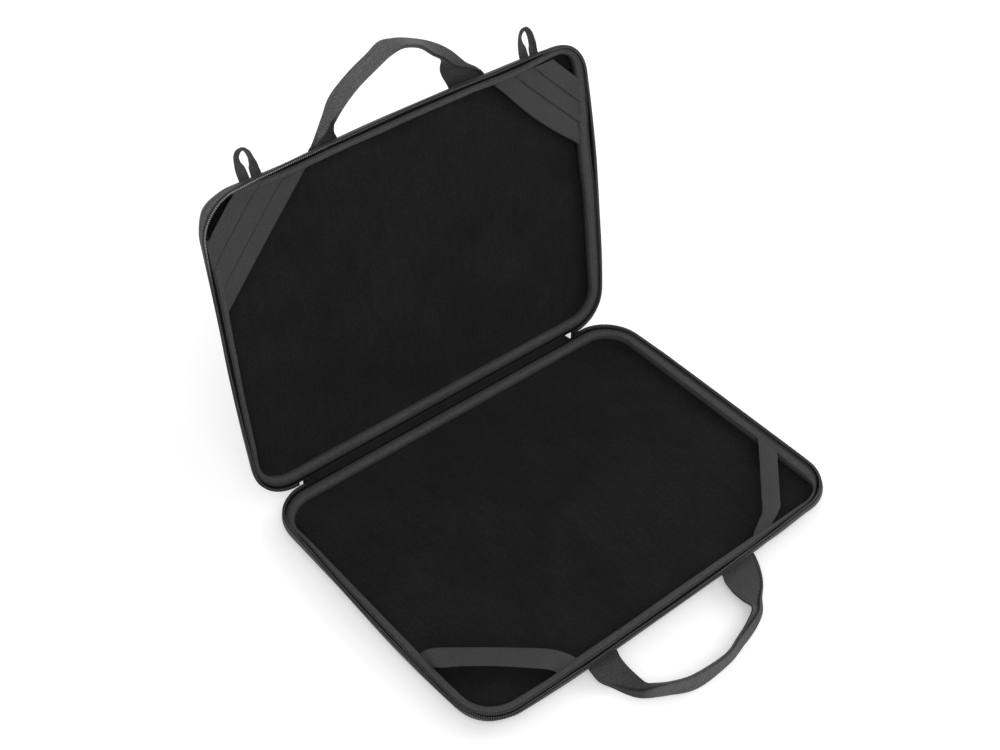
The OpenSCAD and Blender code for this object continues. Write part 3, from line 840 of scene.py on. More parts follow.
# The soft edge of each half as it lies in the photograph. Each row has a place, in millimetres round the
# half from its front's middle; how far the wall and the zip lean in there; and the binding's two edges, as
# distances from a corner's centre.
WALL_LEAN, ZIP_LEAN, BOUND_OUT, BOUND_IN = 1, 2, 3, 4
EDGES = {
    "base": (
        (-474, 0, 0, 33, 25.5), (-455, 0.4, 0.4, 33, 25.7), (-440, 0.5, 1, 33, 26.4),
        (-420, 1.6, 3.2, 31.5, 27), (-400, 1.6, 2.2, 30.6, 26.3), (-380, 1.4, 1.4, 31.5, 26.3),
        (-350, 1.1, -0.2, 33, 26.3), (-320, 0.1, -1, 33.5, 26.3), (-290, -0.7, -1.4, 34, 26.3),
        (-260, -0.6, -1.4, 34.4, 26.3), (-230, 0.4, -1.2, 34, 26.4), (-210, 1.5, -0.2, 33.2, 25.4),
        (-197, 1.7, 0.3, 32.4, 24.4), (-183, 2.2, -0.6, 32.3, 23.6), (-168, 3.4, 0.2, 31.5, 22.9),
        (-153, 2.6, 0.9, 31.4, 23.4), (-135, 1.5, 0.2, 32.2, 24.5), (-120, 0.8, 0.1, 32.4, 25.3),
        (-105, 0.3, -0.4, 32.4, 24.9), (-90, 0.1, -1.2, 32.8, 24.3), (-50, 0, -0.8, 32.9, 24.8),
        (0, 0, -1.3, 32.7, 24.7), (50, 0.1, -0.8, 32.3, 24.8), (70, 0.2, -0.2, 32.5, 25),
        (90, 0.3, 0.2, 32.4, 25.2), (105, 0.9, 0.6, 31.6, 25.2), (120, 0.8, 1.2, 31, 26.2),
        (135, 1.6, 2.2, 30.6, 26.4), (153, 2.3, 2.8, 30.2, 26.7), (168, 1, 2.6, 30.4, 27.7),
        (183, -0.4, 1.5, 31.5, 29), (197, -1.4, 0, 34, 27), (210, -0.6, -0.8, 35.2, 25.5),
        (230, -0.2, -1, 35.4, 25.5), (314, -0.2, -1, 35.4, 25.5), (380, -0.3, -0.8, 35.2, 25.5),
        (400, 0, -0.2, 35, 25.5), (420, 1.2, 0.4, 34.5, 25.5), (440, 0.5, 0.4, 33.5, 25.5),
        (474, 0, 0, 33, 25.5)),
    "lid": (
        (-474, 0, 0, 33, 25.5), (-455, 0.2, 0.2, 33, 25.8), (-440, 0.1, 0.6, 33, 27.2),
        (-420, 2.3, 1.2, 33, 27.6), (-400, 2, 1, 32, 26.8), (-380, 1.6, 0.4, 32.3, 26.7),
        (-350, 1.4, -0.3, 32, 26.8), (-320, 1.6, -0.4, 31.2, 25.8), (-290, 2.5, 0.2, 31, 25),
        (-260, 2.9, 0.8, 30.2, 23.6), (-230, 3, 1.7, 30.5, 24), (-210, 3, 2.8, 31, 26.5),
        (-197, 2.5, 3.6, 31, 28.5), (-183, 0.8, 4.6, 31, 28.5), (-168, 2.5, 4.3, 31, 28.5),
        (-153, 3.1, 3.5, 31, 26), (-135, 3.3, 2.3, 30.6, 23.9), (-120, 3.5, 1.6, 30.2, 23.5),
        (-105, 3.4, 0.9, 30, 23.1), (-90, 2.7, 0.5, 30.4, 24), (-70, 1.6, -0.2, 31.2, 24.7),
        (-50, 0.8, -0.6, 31.4, 25.3), (-25, 0.2, -1.2, 31.8, 25.1), (0, 0.1, -1.8, 32.2, 25.9),
        (50, 0, -1.6, 32.3, 25.9), (70, 0.1, -1.1, 32.4, 25.9), (90, 0.4, -0.5, 31.5, 24.6),
        (105, 0.5, -0.7, 31.3, 24.2), (120, 0.8, -0.8, 31.3, 24.7), (135, 1.2, -0.6, 32.5, 26),
        (153, 2, 0.4, 33.3, 27), (168, 2.4, 1.8, 33.3, 27), (183, 3.6, 3.9, 33, 25.6),
        (197, 4.5, 5.5, 32, 22.8), (210, 4.2, 6.2, 31, 21.8), (230, 3, 4.6, 31.8, 21.8),
        (260, 2.1, 2.7, 30.6, 21.6), (290, 1.4, 1.3, 31.8, 21.6), (320, 1.1, 1.1, 34.5, 23.8),
        (350, 1, 1.1, 35.2, 24.1), (380, 0.7, 1.1, 35.2, 24), (400, 0.9, 1.7, 35, 24),
        (420, 1.5, 2.6, 34.5, 24.1), (440, 0.5, 1.1, 34, 25.5), (474, 0, 0, 33, 25.5)),
}


def edge_at(half, column, u):
    """One column of a half's edge table, in metres, at u metres round the half."""
    return MM * between([(row[0], row[column]) for row in EDGES[half]], u / MM)


def settled(s, half, p):
    """Where a point of the outer wall or of the open zip comes to lie."""
    u, r, way = round_case(s, p)
    outer = ease(r, s.binding_in + 0.0025, s.binding_out)
    high = ease(p.z, s.rim - 0.002, s.half - ZIP_GAP)
    low = ease(p.z, 0.0, 0.005) * (1 - high)
    return p - way * (outer * (edge_at(half, WALL_LEAN, u) * low + edge_at(half, ZIP_LEAN, u) * high))


def settle(ob, s, half):
    """Lets a piece's outer wall or zip edge lie as it does in use."""
    for v in ob.data.vertices:
        v.co = settled(s, half, v.co)


def set_back(ob, s, half):
    """Sets a lined wall back behind its binding, where the binding lies further out."""
    for v in ob.data.vertices:
        u, r, way = round_case(s, v.co)
        # The lining's wall and the foam's wall behind it
        if abs(r - s.lining_in - FOAM_BACK / 2) < FOAM_BACK:
            back = max(0.0, edge_at(half, BOUND_IN, u) + BINDING_UP - s.lining_in)
            v.co += way * back * ease(v.co.z, s.floor, 2 * s.floor)


# ---- Pieces -----------------------------------------------------------------

class CASE_OT_covers(bpy.types.Operator):
    """Makes the woven outer cover of both halves"""
    bl_idname = "case.covers"
    bl_label = "Outer covers"

    def execute(self, context):
        s = context.scene.case_sizes
        plain = cut_up(rim_piece("plain_cover", s, wall_path(s, 0.0, 16), keep_floor=True, flip=True))

        def shape(ob, half):
            settle(ob, s, half)
            thicken(ob, s.cloth * 0.9)
            uv_by_side(ob)
        make_both(plain, s, "_outer_cover", shape, "outer_cover", finish_named("cover", context), "_cover")
        return {"FINISHED"}


class CASE_OT_foam(bpy.types.Operator):
    """Makes the moulded foam shell inside both covers"""
    bl_idname = "case.foam"
    bl_label = "Foam shells"

    def execute(self, context):
        s = context.scene.case_sizes
        under = s.cloth + CLEAR
        outside = [(r, z * (1 - under / s.rim) + under) for r, z in wall_path(s, -under)]
        wall = s.lining_in + FOAM_BACK
        inside = [outside[0], (wall, s.rim), (wall, s.floor + s.lining_bend),
                  (wall - 0.0007, s.floor + 0.0002), (wall - 0.0024, s.floor - 0.0008)]
        inner = rim_piece("foam_inside", s, inside, keep_floor=True)
        plain = rim_piece("foam_outside", s, outside, keep_floor=True)
        take(plain)
        inner.select_set(True)
        bpy.ops.object.join()
        cut_up(plain)
        edit(plain, "VERT")
        bpy.ops.mesh.remove_doubles(threshold=1e-5)
        bpy.ops.mesh.normals_make_consistent(inside=False)

        def shape(ob, half):
            settle(ob, s, half)
            set_back(ob, s, half)
        make_both(plain, s, "_foam_shell", shape, "foam", finish_named("foam", context), "_core")
        return {"FINISHED"}


class CASE_OT_linings(bpy.types.Operator):
    """Makes the brushed lining of both halves"""
    bl_idname = "case.linings"
    bl_label = "Linings"

    def execute(self, context):
        s = context.scene.case_sizes
        wall, bend = s.lining_in, s.lining_bend
        path = [(wall, s.rim - 0.0002), (wall, s.floor + bend)]
        for k in range(1, 7):
            a = radians(15 * k)
            path.append((wall - bend * (1 - cos(a)), s.floor + bend * (1 - sin(a))))
        plain = rim_piece("plain_lining", s, path, keep_floor=True)
        # The floor is a little fuller away from the walls
        edit(plain)
        pick_faces(plain, lambda f: len(f.verts) > 8)
        bpy.ops.mesh.inset(thickness=0.012, depth=0.0)
        bpy.ops.mesh.inset(thickness=0.006, depth=0.0001)
        leave_edit()
        cut_up(plain)

        def shape(ob, half):
            set_back(ob, s, half)
            thicken(ob, s.cloth)
        material = finish_named("lining", context)
        for ob in make_both(plain, s, "_brushed_lining", shape, "lining", material, "_lining"):
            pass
        return {"FINISHED"}


# How the binding rolls over its inner edge, in metres: out from that edge, and down from the rim's top
BINDING_ROLL = ((0.0024, 0.0001), (0.0013, 0.0004), (0.0006, 0.0009), (0.0002, 0.0016), (0.0, 0.0024))
# One of the lid's bands lies over the binding at the front left corner and holds it down: the places round
# the half and how far down, in millimetres
HELD_DOWN = ((-213, 0.0), (-205, 1.3), (-160, 1.3), (-153, 0.0))


class CASE_OT_bindings(bpy.types.Operator):
    """Makes the ribbed tape that binds the rim of both halves"""
    bl_idname = "case.bindings"
    bl_label = "Rim bindings"

    def execute(self, context):
        s = context.scene.case_sizes
        out, inn, top = s.binding_out, s.binding_in, s.rim + BINDING_UP
        path = [(out, s.rim + 0.00002), (out, top - 0.00025), (out - 0.0001, top - 0.0001),
                (out - 0.0003, top), (out - 0.0016, top - 0.0001), (out - 0.0035, top)]
        path += [(inn + r, top - z) for r, z in BINDING_ROLL]
        path += [(inn, s.rim - 0.0035), (inn, s.rim - 0.006)]
        plain = cut_up(rim_piece("plain_binding", s, path))
        rolled = top - BINDING_ROLL[-1][1]
        uv_round_case(plain, s, lambda r, z: (out - r) + (max(rolled - z, 0) if r < inn + 0.0001 else 0))

        def shape(ob, half):
            for v in ob.data.vertices:
                u, r, way = round_case(s, v.co)
                t = (out - r) / (out - inn)
                v.co += way * (edge_at(half, BOUND_OUT, u) * (1 - t) + edge_at(half, BOUND_IN, u) * t - r)
                if half == "lid":
                    v.co.z -= between(HELD_DOWN, u / MM) * MM
            thicken(ob, 0.00045)
        make_both(plain, s, "_rim_binding", shape, "binding", finish_named("binding", context),
                  "_edge_binding", 50)
        return {"FINISHED"}


class CASE_OT_zip_tapes(bpy.types.Operator):
    """Makes the zip tape that stands up round the rim of both halves"""
    bl_idname = "case.zip_tapes"
    bl_label = "Zip tapes"

    def execute(self, context):
        s = context.scene.case_sizes
        top = s.half - ZIP_GAP
        upright = [(s.corner, top - k * s.tape) for k in range(5)]
        path = upright + wall_path(s, s.tape, 8, foot_angle(s))
        for half in HALVES:
            ob = rim_piece(half + "_zip_tape_twill", s, path, flip=True)
            if half == "lid":
                # Above the rim, the sliders need their room as well
                open_back(ob, s.strip / 2 + s.slider_room, s.rim)
            open_back(ob, s.strip / 2)
            cut_up(ob)
            uv_round_case(ob, s, lambda r, z: top - z)
            settle(ob, s, half)
            thicken(ob, s.tape * 0.95)
            soften(ob, 0.0002)
            finish_mesh(ob, 50)
            if half == "lid":
                to_lid(ob, s)
            dress(ob, half, "zip_tape", finish_named(half + "_tape", context), half + "_zip_tape")
        return {"FINISHED"}


TOOTH = (0.00078, 0.0012, 0.0012)  # along the row, through the tape's thickness, and towards the other row
TOOTH_HEAD = 0.00012  # how far the head and the front of a tooth stand out
TOOTH_IN = 0.0008  # from the tape to a tooth's middle
TOOTH_DOWN = 0.001  # from the parting plane to a tooth's middle
ROW_END = 0.001  # from an end of the tape to where its row of teeth ends


def zip_tooth():
    """One tooth. Its head, towards the other row of teeth, is drawn in as a bent wire's is."""
    fresh()
    bpy.ops.mesh.primitive_cube_add(size=1, location=(0, 0, 0))
    tooth = named("zip_tooth")
    bpy.ops.transform.resize(value=TOOTH)
    bpy.ops.object.transform_apply(scale=True)
    edit(tooth)
    pick_faces(tooth, lambda f: f.normal.z > 0.9)
    bpy.ops.mesh.inset(thickness=0.00028, depth=0.0)
    bpy.ops.transform.translate(value=(0, 0, TOOTH_HEAD))
    pick_faces(tooth, lambda f: f.normal.y < -0.9)
    bpy.ops.mesh.inset(thickness=0.00025, depth=TOOTH_HEAD)
    leave_edit()
    return tooth


def along_zip(s, u, r):
    """The place and turn of a tooth, u metres along a row that runs at radius r round the corners."""
    rx, ry = runs(s)
    arc = r * pi / 2
    side, a = (1 if u >= 0 else -1), abs(u)
    if a <= rx:
        x, y, turn = a, -ry - r, 0.0
    elif a <= rx + arc:
        turn = (a - rx) / r
        x, y = rx + r * sin(turn), -ry - r * cos(turn)
    elif a <= rx + arc + 2 * ry:
        x, y, turn = rx + r, -ry + (a - rx - arc), pi / 2
    elif a <= rx + 2 * arc + 2 * ry:
        turn = pi / 2 + (a - rx - arc - 2 * ry) / r
        x, y = rx + r * sin(turn), ry - r * cos(turn)
    else:
        x, y, turn = rx - (a - rx - 2 * arc - 2 * ry), ry + r, pi
    return Vector((side * x, y, s.half - TOOTH_DOWN)), side * turn


class CASE_OT_zip_teeth(bpy.types.Operator):
    """Makes one zip tooth and sets copies of it along both tapes"""
    bl_idname = "case.zip_teeth"
    bl_label = "Zip teeth"

    def execute(self, context):
        s = context.scene.case_sizes
        tooth = zip_tooth()
        rx, ry = runs(s)
        radius = s.corner - s.tape - TOOTH_IN
        material = finish_named("coil", context)
        # The last value goes into the teeth's UV: 1 keeps the base's teeth free of the painted highlight, 0
        # lets the lid's have it
        for half, room, offset, painted_glint_term in (("base", 0.0, 0.5, 1.0), ("lid", s.slider_room, 1.0, 0.0)):
            reach = 2 * rx + radius * pi + 2 * ry - (s.strip / 2 + room + ROW_END)
            count = int(reach / s.tooth_pitch)
            points, faces, places = [], [], []
            for k in range(-count, count):
                u = (k + offset) * s.tooth_pitch
                if abs(u) > reach - TOOTH[1] / 2:
                    continue
                at, turn = along_zip(s, u, radius)
                place = Matrix.Translation(settled(s, half, at)) @ Matrix.Rotation(turn, 4, "Z")
                faces += [tuple(len(points) + i for i in f.vertices) for f in tooth.data.polygons]
                points += [place @ v.co for v in tooth.data.vertices]
                places += [(u, painted_glint_term)] * len(tooth.data.vertices)
            mesh = bpy.data.meshes.new(half + "_zip_teeth")
            mesh.from_pydata(points, [], faces)
            ob = bpy.data.objects.new(half + "_zip_teeth", mesh)
            context.scene.collection.objects.link(ob)
            lay_uv(ob, places)
            face_out(ob)
            finish_mesh(ob, 40)
            if half == "lid":
                to_lid(ob, s)
            dress(ob, half, "zip_coil", material, half + "_zip_coil")
        discard(tooth)
        return {"FINISHED"}


class CASE_OT_hinge_strip(bpy.types.Operator):
    """Makes the one strip of fabric that joins the halves along the back"""
    bl_idname = "case.hinge_strip"
    bl_label = "Hinge strip"

    def execute(self, context):
        s = context.scene.case_sizes
        _, ry = runs(s)
        fold = fold_line(s)
        lid = lid_matrix(s)
        # Down the base's wall, round the fold, and over the lid's zip edge and wall
        wall = [Vector((0, ry + r, z)) for r, z in wall_path(s, s.tape * 0.5, 6, foot_angle(s))]
        zip_edge = [Vector((0, ry + s.corner - s.tape / 2, 2 * s.half - fold.z - d))
                    for d in (0.0014, 0.003, 0.005)]
        line = [p for p in wall[::-1] if p.z < fold.z - 0.0012]
        line += [fold + Vector((0, 0.00005, -0.0010)), fold + Vector((0, 0.00045, 0.0004))]
        line = smooth_list(line + [lid @ p for p in zip_edge + wall], 2)
        run = lengths_along(line)
        last = len(line) - 1

        def place(i, j):
            k = round(j * last)
            x = (i - 0.5) * s.strip
            return Vector((x, line[k].y, line[k].z)), (x, run[k])
        ob = cloth_strip("hinge_strip_cloth", 24, last, place, s.tape * 0.9, angle=60)
        material = finish_named("strip", context)
        dress(ob, None, "outer_cover", material, "hinge_strip_lower", "hinge_strip_upper")
        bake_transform(ob)
        return {"FINISHED"}


def band_across(name, s, near, far, z, reach, bulge):
    """A flat band across the front left corner, between two distances from the case's square corner.

    z is its height, reach the radius to which its ends go, and bulge how far its outer edge bellies out.
    """
    ob = plate(name, s, reach, z)
    corner = Vector((-s.width / 2, -s.depth / 2, 0))
    inward, along = Vector((1, 1, 0)).normalized(), Vector((1, -1, 0)).normalized()
    slice_at(corner + inward * near, inward, clear_inner=True)
    slice_at(corner + inward * far, inward, clear_outer=True)
    for k in range(-6, 7):
        slice_at(corner + inward * near + along * k * 0.012, along)
    for k in (0.25, 0.5, 0.75):
        slice_at(corner + inward * (near + (far - near) * k), inward)
    leave_edit()
    places = [v.co - corner for v in ob.data.vertices]
    lay_uv(ob, [(p.dot(along), p.dot(inward) - far) for p in places])
    for v, p in zip(ob.data.vertices, places):
        across = (p.dot(inward) - near) / (far - near)
        v.co += inward * (bulge * across * max(0.0, 1 - (p.dot(along) / 0.05) ** 2))
        v.co.z += 0.00025 * sin(pi * across) - 0.0002 * cos(p.dot(along) * 60)
        # Past the rim's inner edge the end climbs onto the rim
        _, r, _ = round_case(s, v.co, -1)
        v.co.z += (s.rim + 0.0011 - z) * max(0.0, min(1.0, (r - s.binding_in + 0.001) / 0.002))
    return ob


# The lines between the lid's bands, as distances in metres from the case's square corner, and how far the
# innermost band bellies out
BAND_LINES = {
    "left": ((0.0319, 0.0475, 0.0647, 0.0797), 0.0),
    "right": ((0.0365, 0.0514, 0.0657, 0.081), 0.003),
}
BAND_LAP = 0.003  # how far each next band starts under the one before it
BAND_STEP = 0.0009  # how much lower each next band lies
BAND_OVER = 0.0308  # the radius to which the left outer band goes on, over the binding


class CASE_OT_lid_bands(bpy.types.Operator):
    """Makes the flat elastic bands across the lid's front corners"""
    bl_idname = "case.lid_bands"
    bl_label = "Lid bands"

    def execute(self, context):
        s = context.scene.case_sizes
        material = finish_named("band", context)
        for side, (lines, bulge) in BAND_LINES.items():
            for layer, place in enumerate(("outer", "middle", "inner")):
                near = lines[layer] - (BAND_LAP if layer else 0.0)
                z = s.rim - 0.0006 - layer * BAND_STEP
                reach = BAND_OVER if (side, place) == ("left", "outer") else s.binding_in
                name = "lid_band_%s_%s" % (side, place)
                ob = band_across(name + "_elastic", s, near, lines[layer + 1], z, reach,
                                 bulge if place == "inner" else 0.0)
                thicken(ob, 0.0006)
                if side == "right":
                    ob.data.transform(Matrix.Scale(-1, 4, (1, 0, 0)))
                    turn_over(ob)
                to_lid(ob, s)
                finish_mesh(ob, 50)
                dress(ob, "lid", "elastic", material, name)
        return {"FINISHED"}


# The two edges of the base's straps in millimetres, inner edge first, from the side wall to the front wall:
# in from the case's side, in from its front, and up.
STRAPS = {
    "left": (
        [(11.5, 87.9, 14.3), (14.5, 85.3, 18.2), (20.5, 81.3, 19.6), (34, 70.1, 20.3), (51, 56.2, 20.5),
         (68, 42.1, 20.4), (83, 29.2, 20), (90.7, 21, 18.5), (96.8, 14.3, 14.3)],
        [(9.9, 72, 14.3), (11, 68, 18.2), (14, 63.9, 19.6), (24.6, 56.3, 20.3), (39.3, 44.4, 20.5),
         (52.4, 33, 20.4), (65.3, 21.2, 20), (72.3, 15.2, 18.5), (77.3, 12.3, 14.3)]),
    "right": (
        [(11.5, 85.5, 14.3), (13.5, 83, 18.2), (16.5, 79, 19.6), (28.7, 66.4, 20.3), (45.1, 50, 20.5),
         (60.9, 34.3, 20.4), (73, 22.1, 20), (82.2, 17.5, 18.5), (92.3, 12.7, 14.3)],
        [(11, 65, 14.3), (12.3, 62.5, 18.2), (14.5, 59, 19.6), (25.9, 48, 20.3), (39, 35, 20.5),
         (50.8, 23.3, 20.4), (57.5, 16.6, 20), (67.3, 12.2, 18.5), (75.4, 10, 14.3)]),
}
INTO_WALL = 3.5  # how far both ends go on into the wall behind the binding, in millimetres
STRAP_WIDTH = 0.016  # of the elastic as it is woven, in metres


class CASE_OT_base_straps(bpy.types.Operator):
    """Makes the arched elastic straps across the base's front corners"""
    bl_idname = "case.base_straps"
    bl_label = "Base straps"

    def execute(self, context):
        s = context.scene.case_sizes
        material = finish_named("elastic", context)
        for side, edges in STRAPS.items():
            way = -1 if side == "left" else 1

            def edge(points):
                (x0, y0, z0), (x1, y1, z1) = points[0], points[-1]
                points = [(x0 - INTO_WALL, y0, z0 - 1)] + points + [(x1, y1 - INTO_WALL, z1 - 1)]
                return [Vector((way * (s.width / 2 - p.x * MM), p.y * MM - s.depth / 2, p.z * MM))
                        for p in smooth_list(points, 6)]
            far, near = edge(edges[0]), edge(edges[1])
            last = len(near) - 1

            def place(i, j):
                k = round(i * last)
                p = near[k].lerp(far[k], j)
                p.z -= 0.0004 * (2 * j - 1) ** 2
                u = (near[k] - near[last // 2]).length * (1 if 2 * k > last else -1)
                return p, (u, (j - 0.5) * STRAP_WIDTH)
            ob = cloth_strip("base_strap_%s_elastic" % side, last, 8, place, 0.0009, edge=0.0003)
            dress(ob, "base", "elastic", material, "base_strap_" + side)
        return {"FINISHED"}


# Stations of the two handles in millimetres, as they hang in the photograph: along X, out from the wall,
# and up. Each has its outer and inner edge at the left, both again at the right, and then its crease's
# place across the webbing: -1 at the outer edge, 0 in the middle.
HANDLES = {
    "base": (
        [(1.6, -1.8, 0), (1, 1.8, -0.5), (1.7, 10.3, -3), (7.9, 17.9, -7), (14.4, 29.5, -9.4),
         (21.4, 38, -9.9), (36.8, 46.6, -10), (57.5, 55.1, -10)],
        [(29.3, -1.5, 0), (26.7, 4.7, 0.5), (24.9, 14, 1), (22.9, 26, 4), (22, 36.4, 5.5),
         (26.3, 41.2, 5.8), (37, 48.2, 6.2), (54.5, 54.2, 6.3)],
        [(-84.2, 55.5, -10), (-62.5, 49.9, -10), (-44.2, 44.3, -9.9), (-29.7, 37.9, -9.4),
         (-20.7, 29.6, -7.5), (-11.9, 21.8, -3.5), (-5.1, 12.2, -0.7), (1.5, -1, 0)],
        [(-91.1, 56.1, 6.3), (-72.4, 51.2, 6.2), (-55.1, 45.2, 6), (-40.9, 37.3, 5), (-40.5, 25.5, 2.8),
         (-39.5, 15.4, 0.8), (-36.5, 4.2, 0.2), (-33, -2, 0)],
        [-0.9, -0.9, -0.88, -0.75, -0.4, -0.12, 0, 0, 0, 0, -0.12, -0.4, -0.75, -0.88, -0.9, -0.9]),
    "lid": (
        [(6.7, -4.1, 0), (10.6, -2, -1.5), (17.2, 3.4, -4), (26, 13.3, -6), (34, 28, -4), (51, 40.9, -2),
         (69.3, 49.4, -2), (82.8, 54.7, -3)],
        [(32.2, -2.9, 0), (30.3, 2.3, 1), (29.2, 7.4, 3), (29.4, 13.9, 6), (39.2, 20.4, 5),
         (54.7, 30.8, 5), (71.6, 38.7, 5), (84.4, 44.1, 5)],
        [(-75.6, 51, -5), (-58.8, 44.6, -6), (-44.3, 37.2, -5), (-29.8, 25.9, -3), (-18.1, 12.9, -1),
         (-8.7, 5.7, 0), (-1.5, -2.2, 0)],
        [(-79.4, 48.8, 7), (-64.4, 44.2, 7.5), (-52.4, 33.7, 6), (-42.5, 24.9, 3), (-42.9, 17.5, 1),
         (-42, 10.5, 0), (-37, -1.5, 0)],
        [-0.9, -0.62, -0.24, -0.08, 0, 0, 0, 0, 0, 0, 0, -0.1, -0.4, -0.8, -0.9]),
}
# Also in millimetres: where a handle's ends are along X, how high webbing is sewn on, how far from the
# case's middle, and how far in from there its roots lie
LEFT_END, RIGHT_END, WEB_LEVEL, WEB_AXIS, ROOT = -92.5, 83.5, 11.0, 140.1, 8.5
LAYER_GAP = 0.00088  # half the distance between two layers of folded webbing, in metres
CREASE = 0.0012  # how far from its crease the webbing lies flat again, in metres


def hung(points, middles, axis):
    """A webbing's edge through its stations, in metres. Each end is carried in to the zip tape."""
    first, last = points[0], points[-1]
    points = [(first[0], -ROOT, first[2])] + points + [(last[0], -ROOT, last[2])]
    middles = middles[:1] + middles + middles[-1:]
    return [p * MM for p in smooth_list([(m + x, -axis - y, WEB_LEVEL + z)
                                         for m, (x, y, z) in zip(middles, points)], 6)]


def sew_on(ob, s, half):
    """Works out where a strap's root is sewn on, but does not use it, and bakes the strap's place into its
    mesh.
    """
    ends = [Vector((0, y * MM, WEB_LEVEL * MM)) for y in (0.6 - WEB_AXIS, -2.4 - WEB_AXIS)]
    if half == "lid":
        ends = [lid_matrix(s) @ p for p in ends]
    tuple(ends[0])
    tuple(ends[1])
    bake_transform(ob)


def folded_webbing(name, s, stations):
    """A length of webbing that lies flat at its ends and is folded double along its grip."""
    outer, inner, outer_right, inner_right, crease = stations
    ends = [LEFT_END] * len(outer) + [RIGHT_END] * len(outer_right)
    a, b = hung(outer + outer_right, ends, WEB_AXIS), hung(inner + inner_right, ends, WEB_AXIS)
    c = [p.x for p in smooth_list([(q, 0, 0) for q in crease[:1] + crease + crease[-1:]], 6)]
    last = len(a) - 1
    middle = [(p + q) / 2 for p, q in zip(a, b)]
    run = lengths_along(middle)
    half = s.web / 2

    def place(i, j):
        k = round(i * last)
        tangent = (middle[min(k + 1, last)] - middle[max(k - 1, 0)]).normalized()
        span = b[k] - a[k]
        up = tangent.cross(span).normalized()
        fold = max(-0.9, min(c[k], 0.0))
        side = 2 * j - 1
        reach = 1 - fold if side >= 0 else 1 + fold
        away = abs(side) * reach
        p = a[k] + span * (away / (1 - fold))
        # Two layers lie on each other past the crease, which is round
        open_by = LAYER_GAP * min(1.0, (1 + fold) / 0.35)
        rounding = sqrt(max(0.0, 1 - (1 - min(1.0, away * half / CREASE)) ** 2))
        p = p + up * open_by * rounding * (-1 if side >= 0 else 1)
        # The free edges draw in a little, and the flat ends cup
        p = p + up * 0.0006 * sin(run[k] * 90) * (1 - abs(side))
        return p, (run[k] - run[last] / 2, (fold + side * reach) * half)
    return cloth_strip(name, last, 24, place, s.web_thickness, angle=55)


class CASE_OT_handles(bpy.types.Operator):
    """Makes the two webbing handles"""
    bl_idname = "case.handles"
    bl_label = "Handles"

    def execute(self, context):
        s = context.scene.case_sizes
        for half, stations in HANDLES.items():
            name = half + "_handle"
            ob = folded_webbing(name + "_webbing", s, stations)
            if half == "lid":
                to_lid(ob, s)
            dress(ob, None, "webbing", finish_named(half + "_webbing", context), name)
            sew_on(ob, s, half)
        return {"FINISHED"}


# The two edges of a loop in millimetres, from root to root: along X from its middle, out from the wall, up.
LOOP_EDGES = (
    [(-8.8, -5.3, 0), (-9.8, 1.1, 0), (-10.3, 7.5, 0.5), (-10.3, 13, 1.5), (-10.1, 16.8, 2.5),
     (-7.9, 20.4, 2.9), (-2.6, 20.9, 3.3), (1.9, 16.7, 3.4), (4.1, 10.6, 3.8), (6.7, 5, 2.6),
     (8.9, -0.6, 0.4), (10.2, -6.6, 0)],
    [(-0.5, -4.1, 0), (-1.4, 0.7, 0), (-2.4, 4.8, -0.5), (-4.1, 7.9, -1.5), (-4.4, 12.1, -2.5),
     (-2.2, 15.3, -2.9), (0.7, 15.8, -3.3), (2.7, 12.2, -3.4), (4, 7.6, -3.8), (3, 4.9, -2.6),
     (1, 1.7, -0.4), (1.3, -5.1, 0)],
)
LOOP_AXIS = 140.0
# Each loop's place along X, in metres, and how tall it is beside the left one
LOOPS = {"left": (-0.1375, 1.0), "right": (0.1285, 1.1)}


class CASE_OT_strap_loops(bpy.types.Operator):
    """Makes the two loops of narrow webbing on the lid's front edge"""
    bl_idname = "case.strap_loops"
    bl_label = "Strap loops"

    def execute(self, context):
        s = context.scene.case_sizes
        a, b = (hung(points, [0.0] * len(points), LOOP_AXIS) for points in LOOP_EDGES)
        last = len(a) - 1
        run = lengths_along([(p + q) / 2 for p, q in zip(a, b)])

        def place(i, j):
            k = round(i * last)
            return a[k].lerp(b[k], j), (run[k], (j - 0.5) * s.loop_web)
        plain = cloth_strip("plain_loop", last, 6, place, s.web_thickness * 0.9, edge=0.0003, angle=55)
        root = Matrix.Translation((0, -LOOP_AXIS * MM, 0))
        for side, (x, tall) in LOOPS.items():
            name = "strap_loop_" + side
            ob = copy_piece(plain, name + "_webbing")
            grown = root @ Matrix.Scale(tall, 4, (0, 1, 0)) @ root.inverted()
            ob.data.transform(Matrix.Translation((x, 0, 0)) @ grown)
            to_lid(ob, s)
            dress(ob, None, "webbing", finish_named("loop", context), name)
            sew_on(ob, s, "lid")
        discard(plain)
        return {"FINISHED"}


class CASE_OT_zip_metal(bpy.types.Operator):
    """Gives the sliders, pulls and stops their finish"""
    bl_idname = "case.zip_metal"
    bl_label = "Zip metal"

    def execute(self, context):
        metal = finish_named("metal", context)
        for name, ob in frame["nodes"].items():
            if name.startswith(("zip_slider", "zip_pull")) or name.endswith("zip_stops"):
                for slot in ob.material_slots:
                    slot.material = metal
        return {"FINISHED"}


# Each studio light: where it hangs, what it points at, its size in metres and its power in watts
LIGHTS = {
    "key_light": ((-1.3, -1.5, 2.2), (0, 0, 0.1), 1.8, 34.0),
    "fill_light": ((1.9, -0.9, 1.3), (0, 0, 0.1), 1.6, 17.0),
    "back_light": ((0.3, 1.9, 1.6), (0, 0.1, 0.1), 1.6, 10.0),
}
# The camera as fitted to the outlines of both halves: its place, its lens and two of its directions
CAMERA_PLACE, CAMERA_LENS = (-0.5953, -0.5939, 0.9295), 54.99
CAMERA_RIGHT, CAMERA_AHEAD = (0.7634, -0.6453, 0.0281), (0.4874, 0.5470, -0.6807)


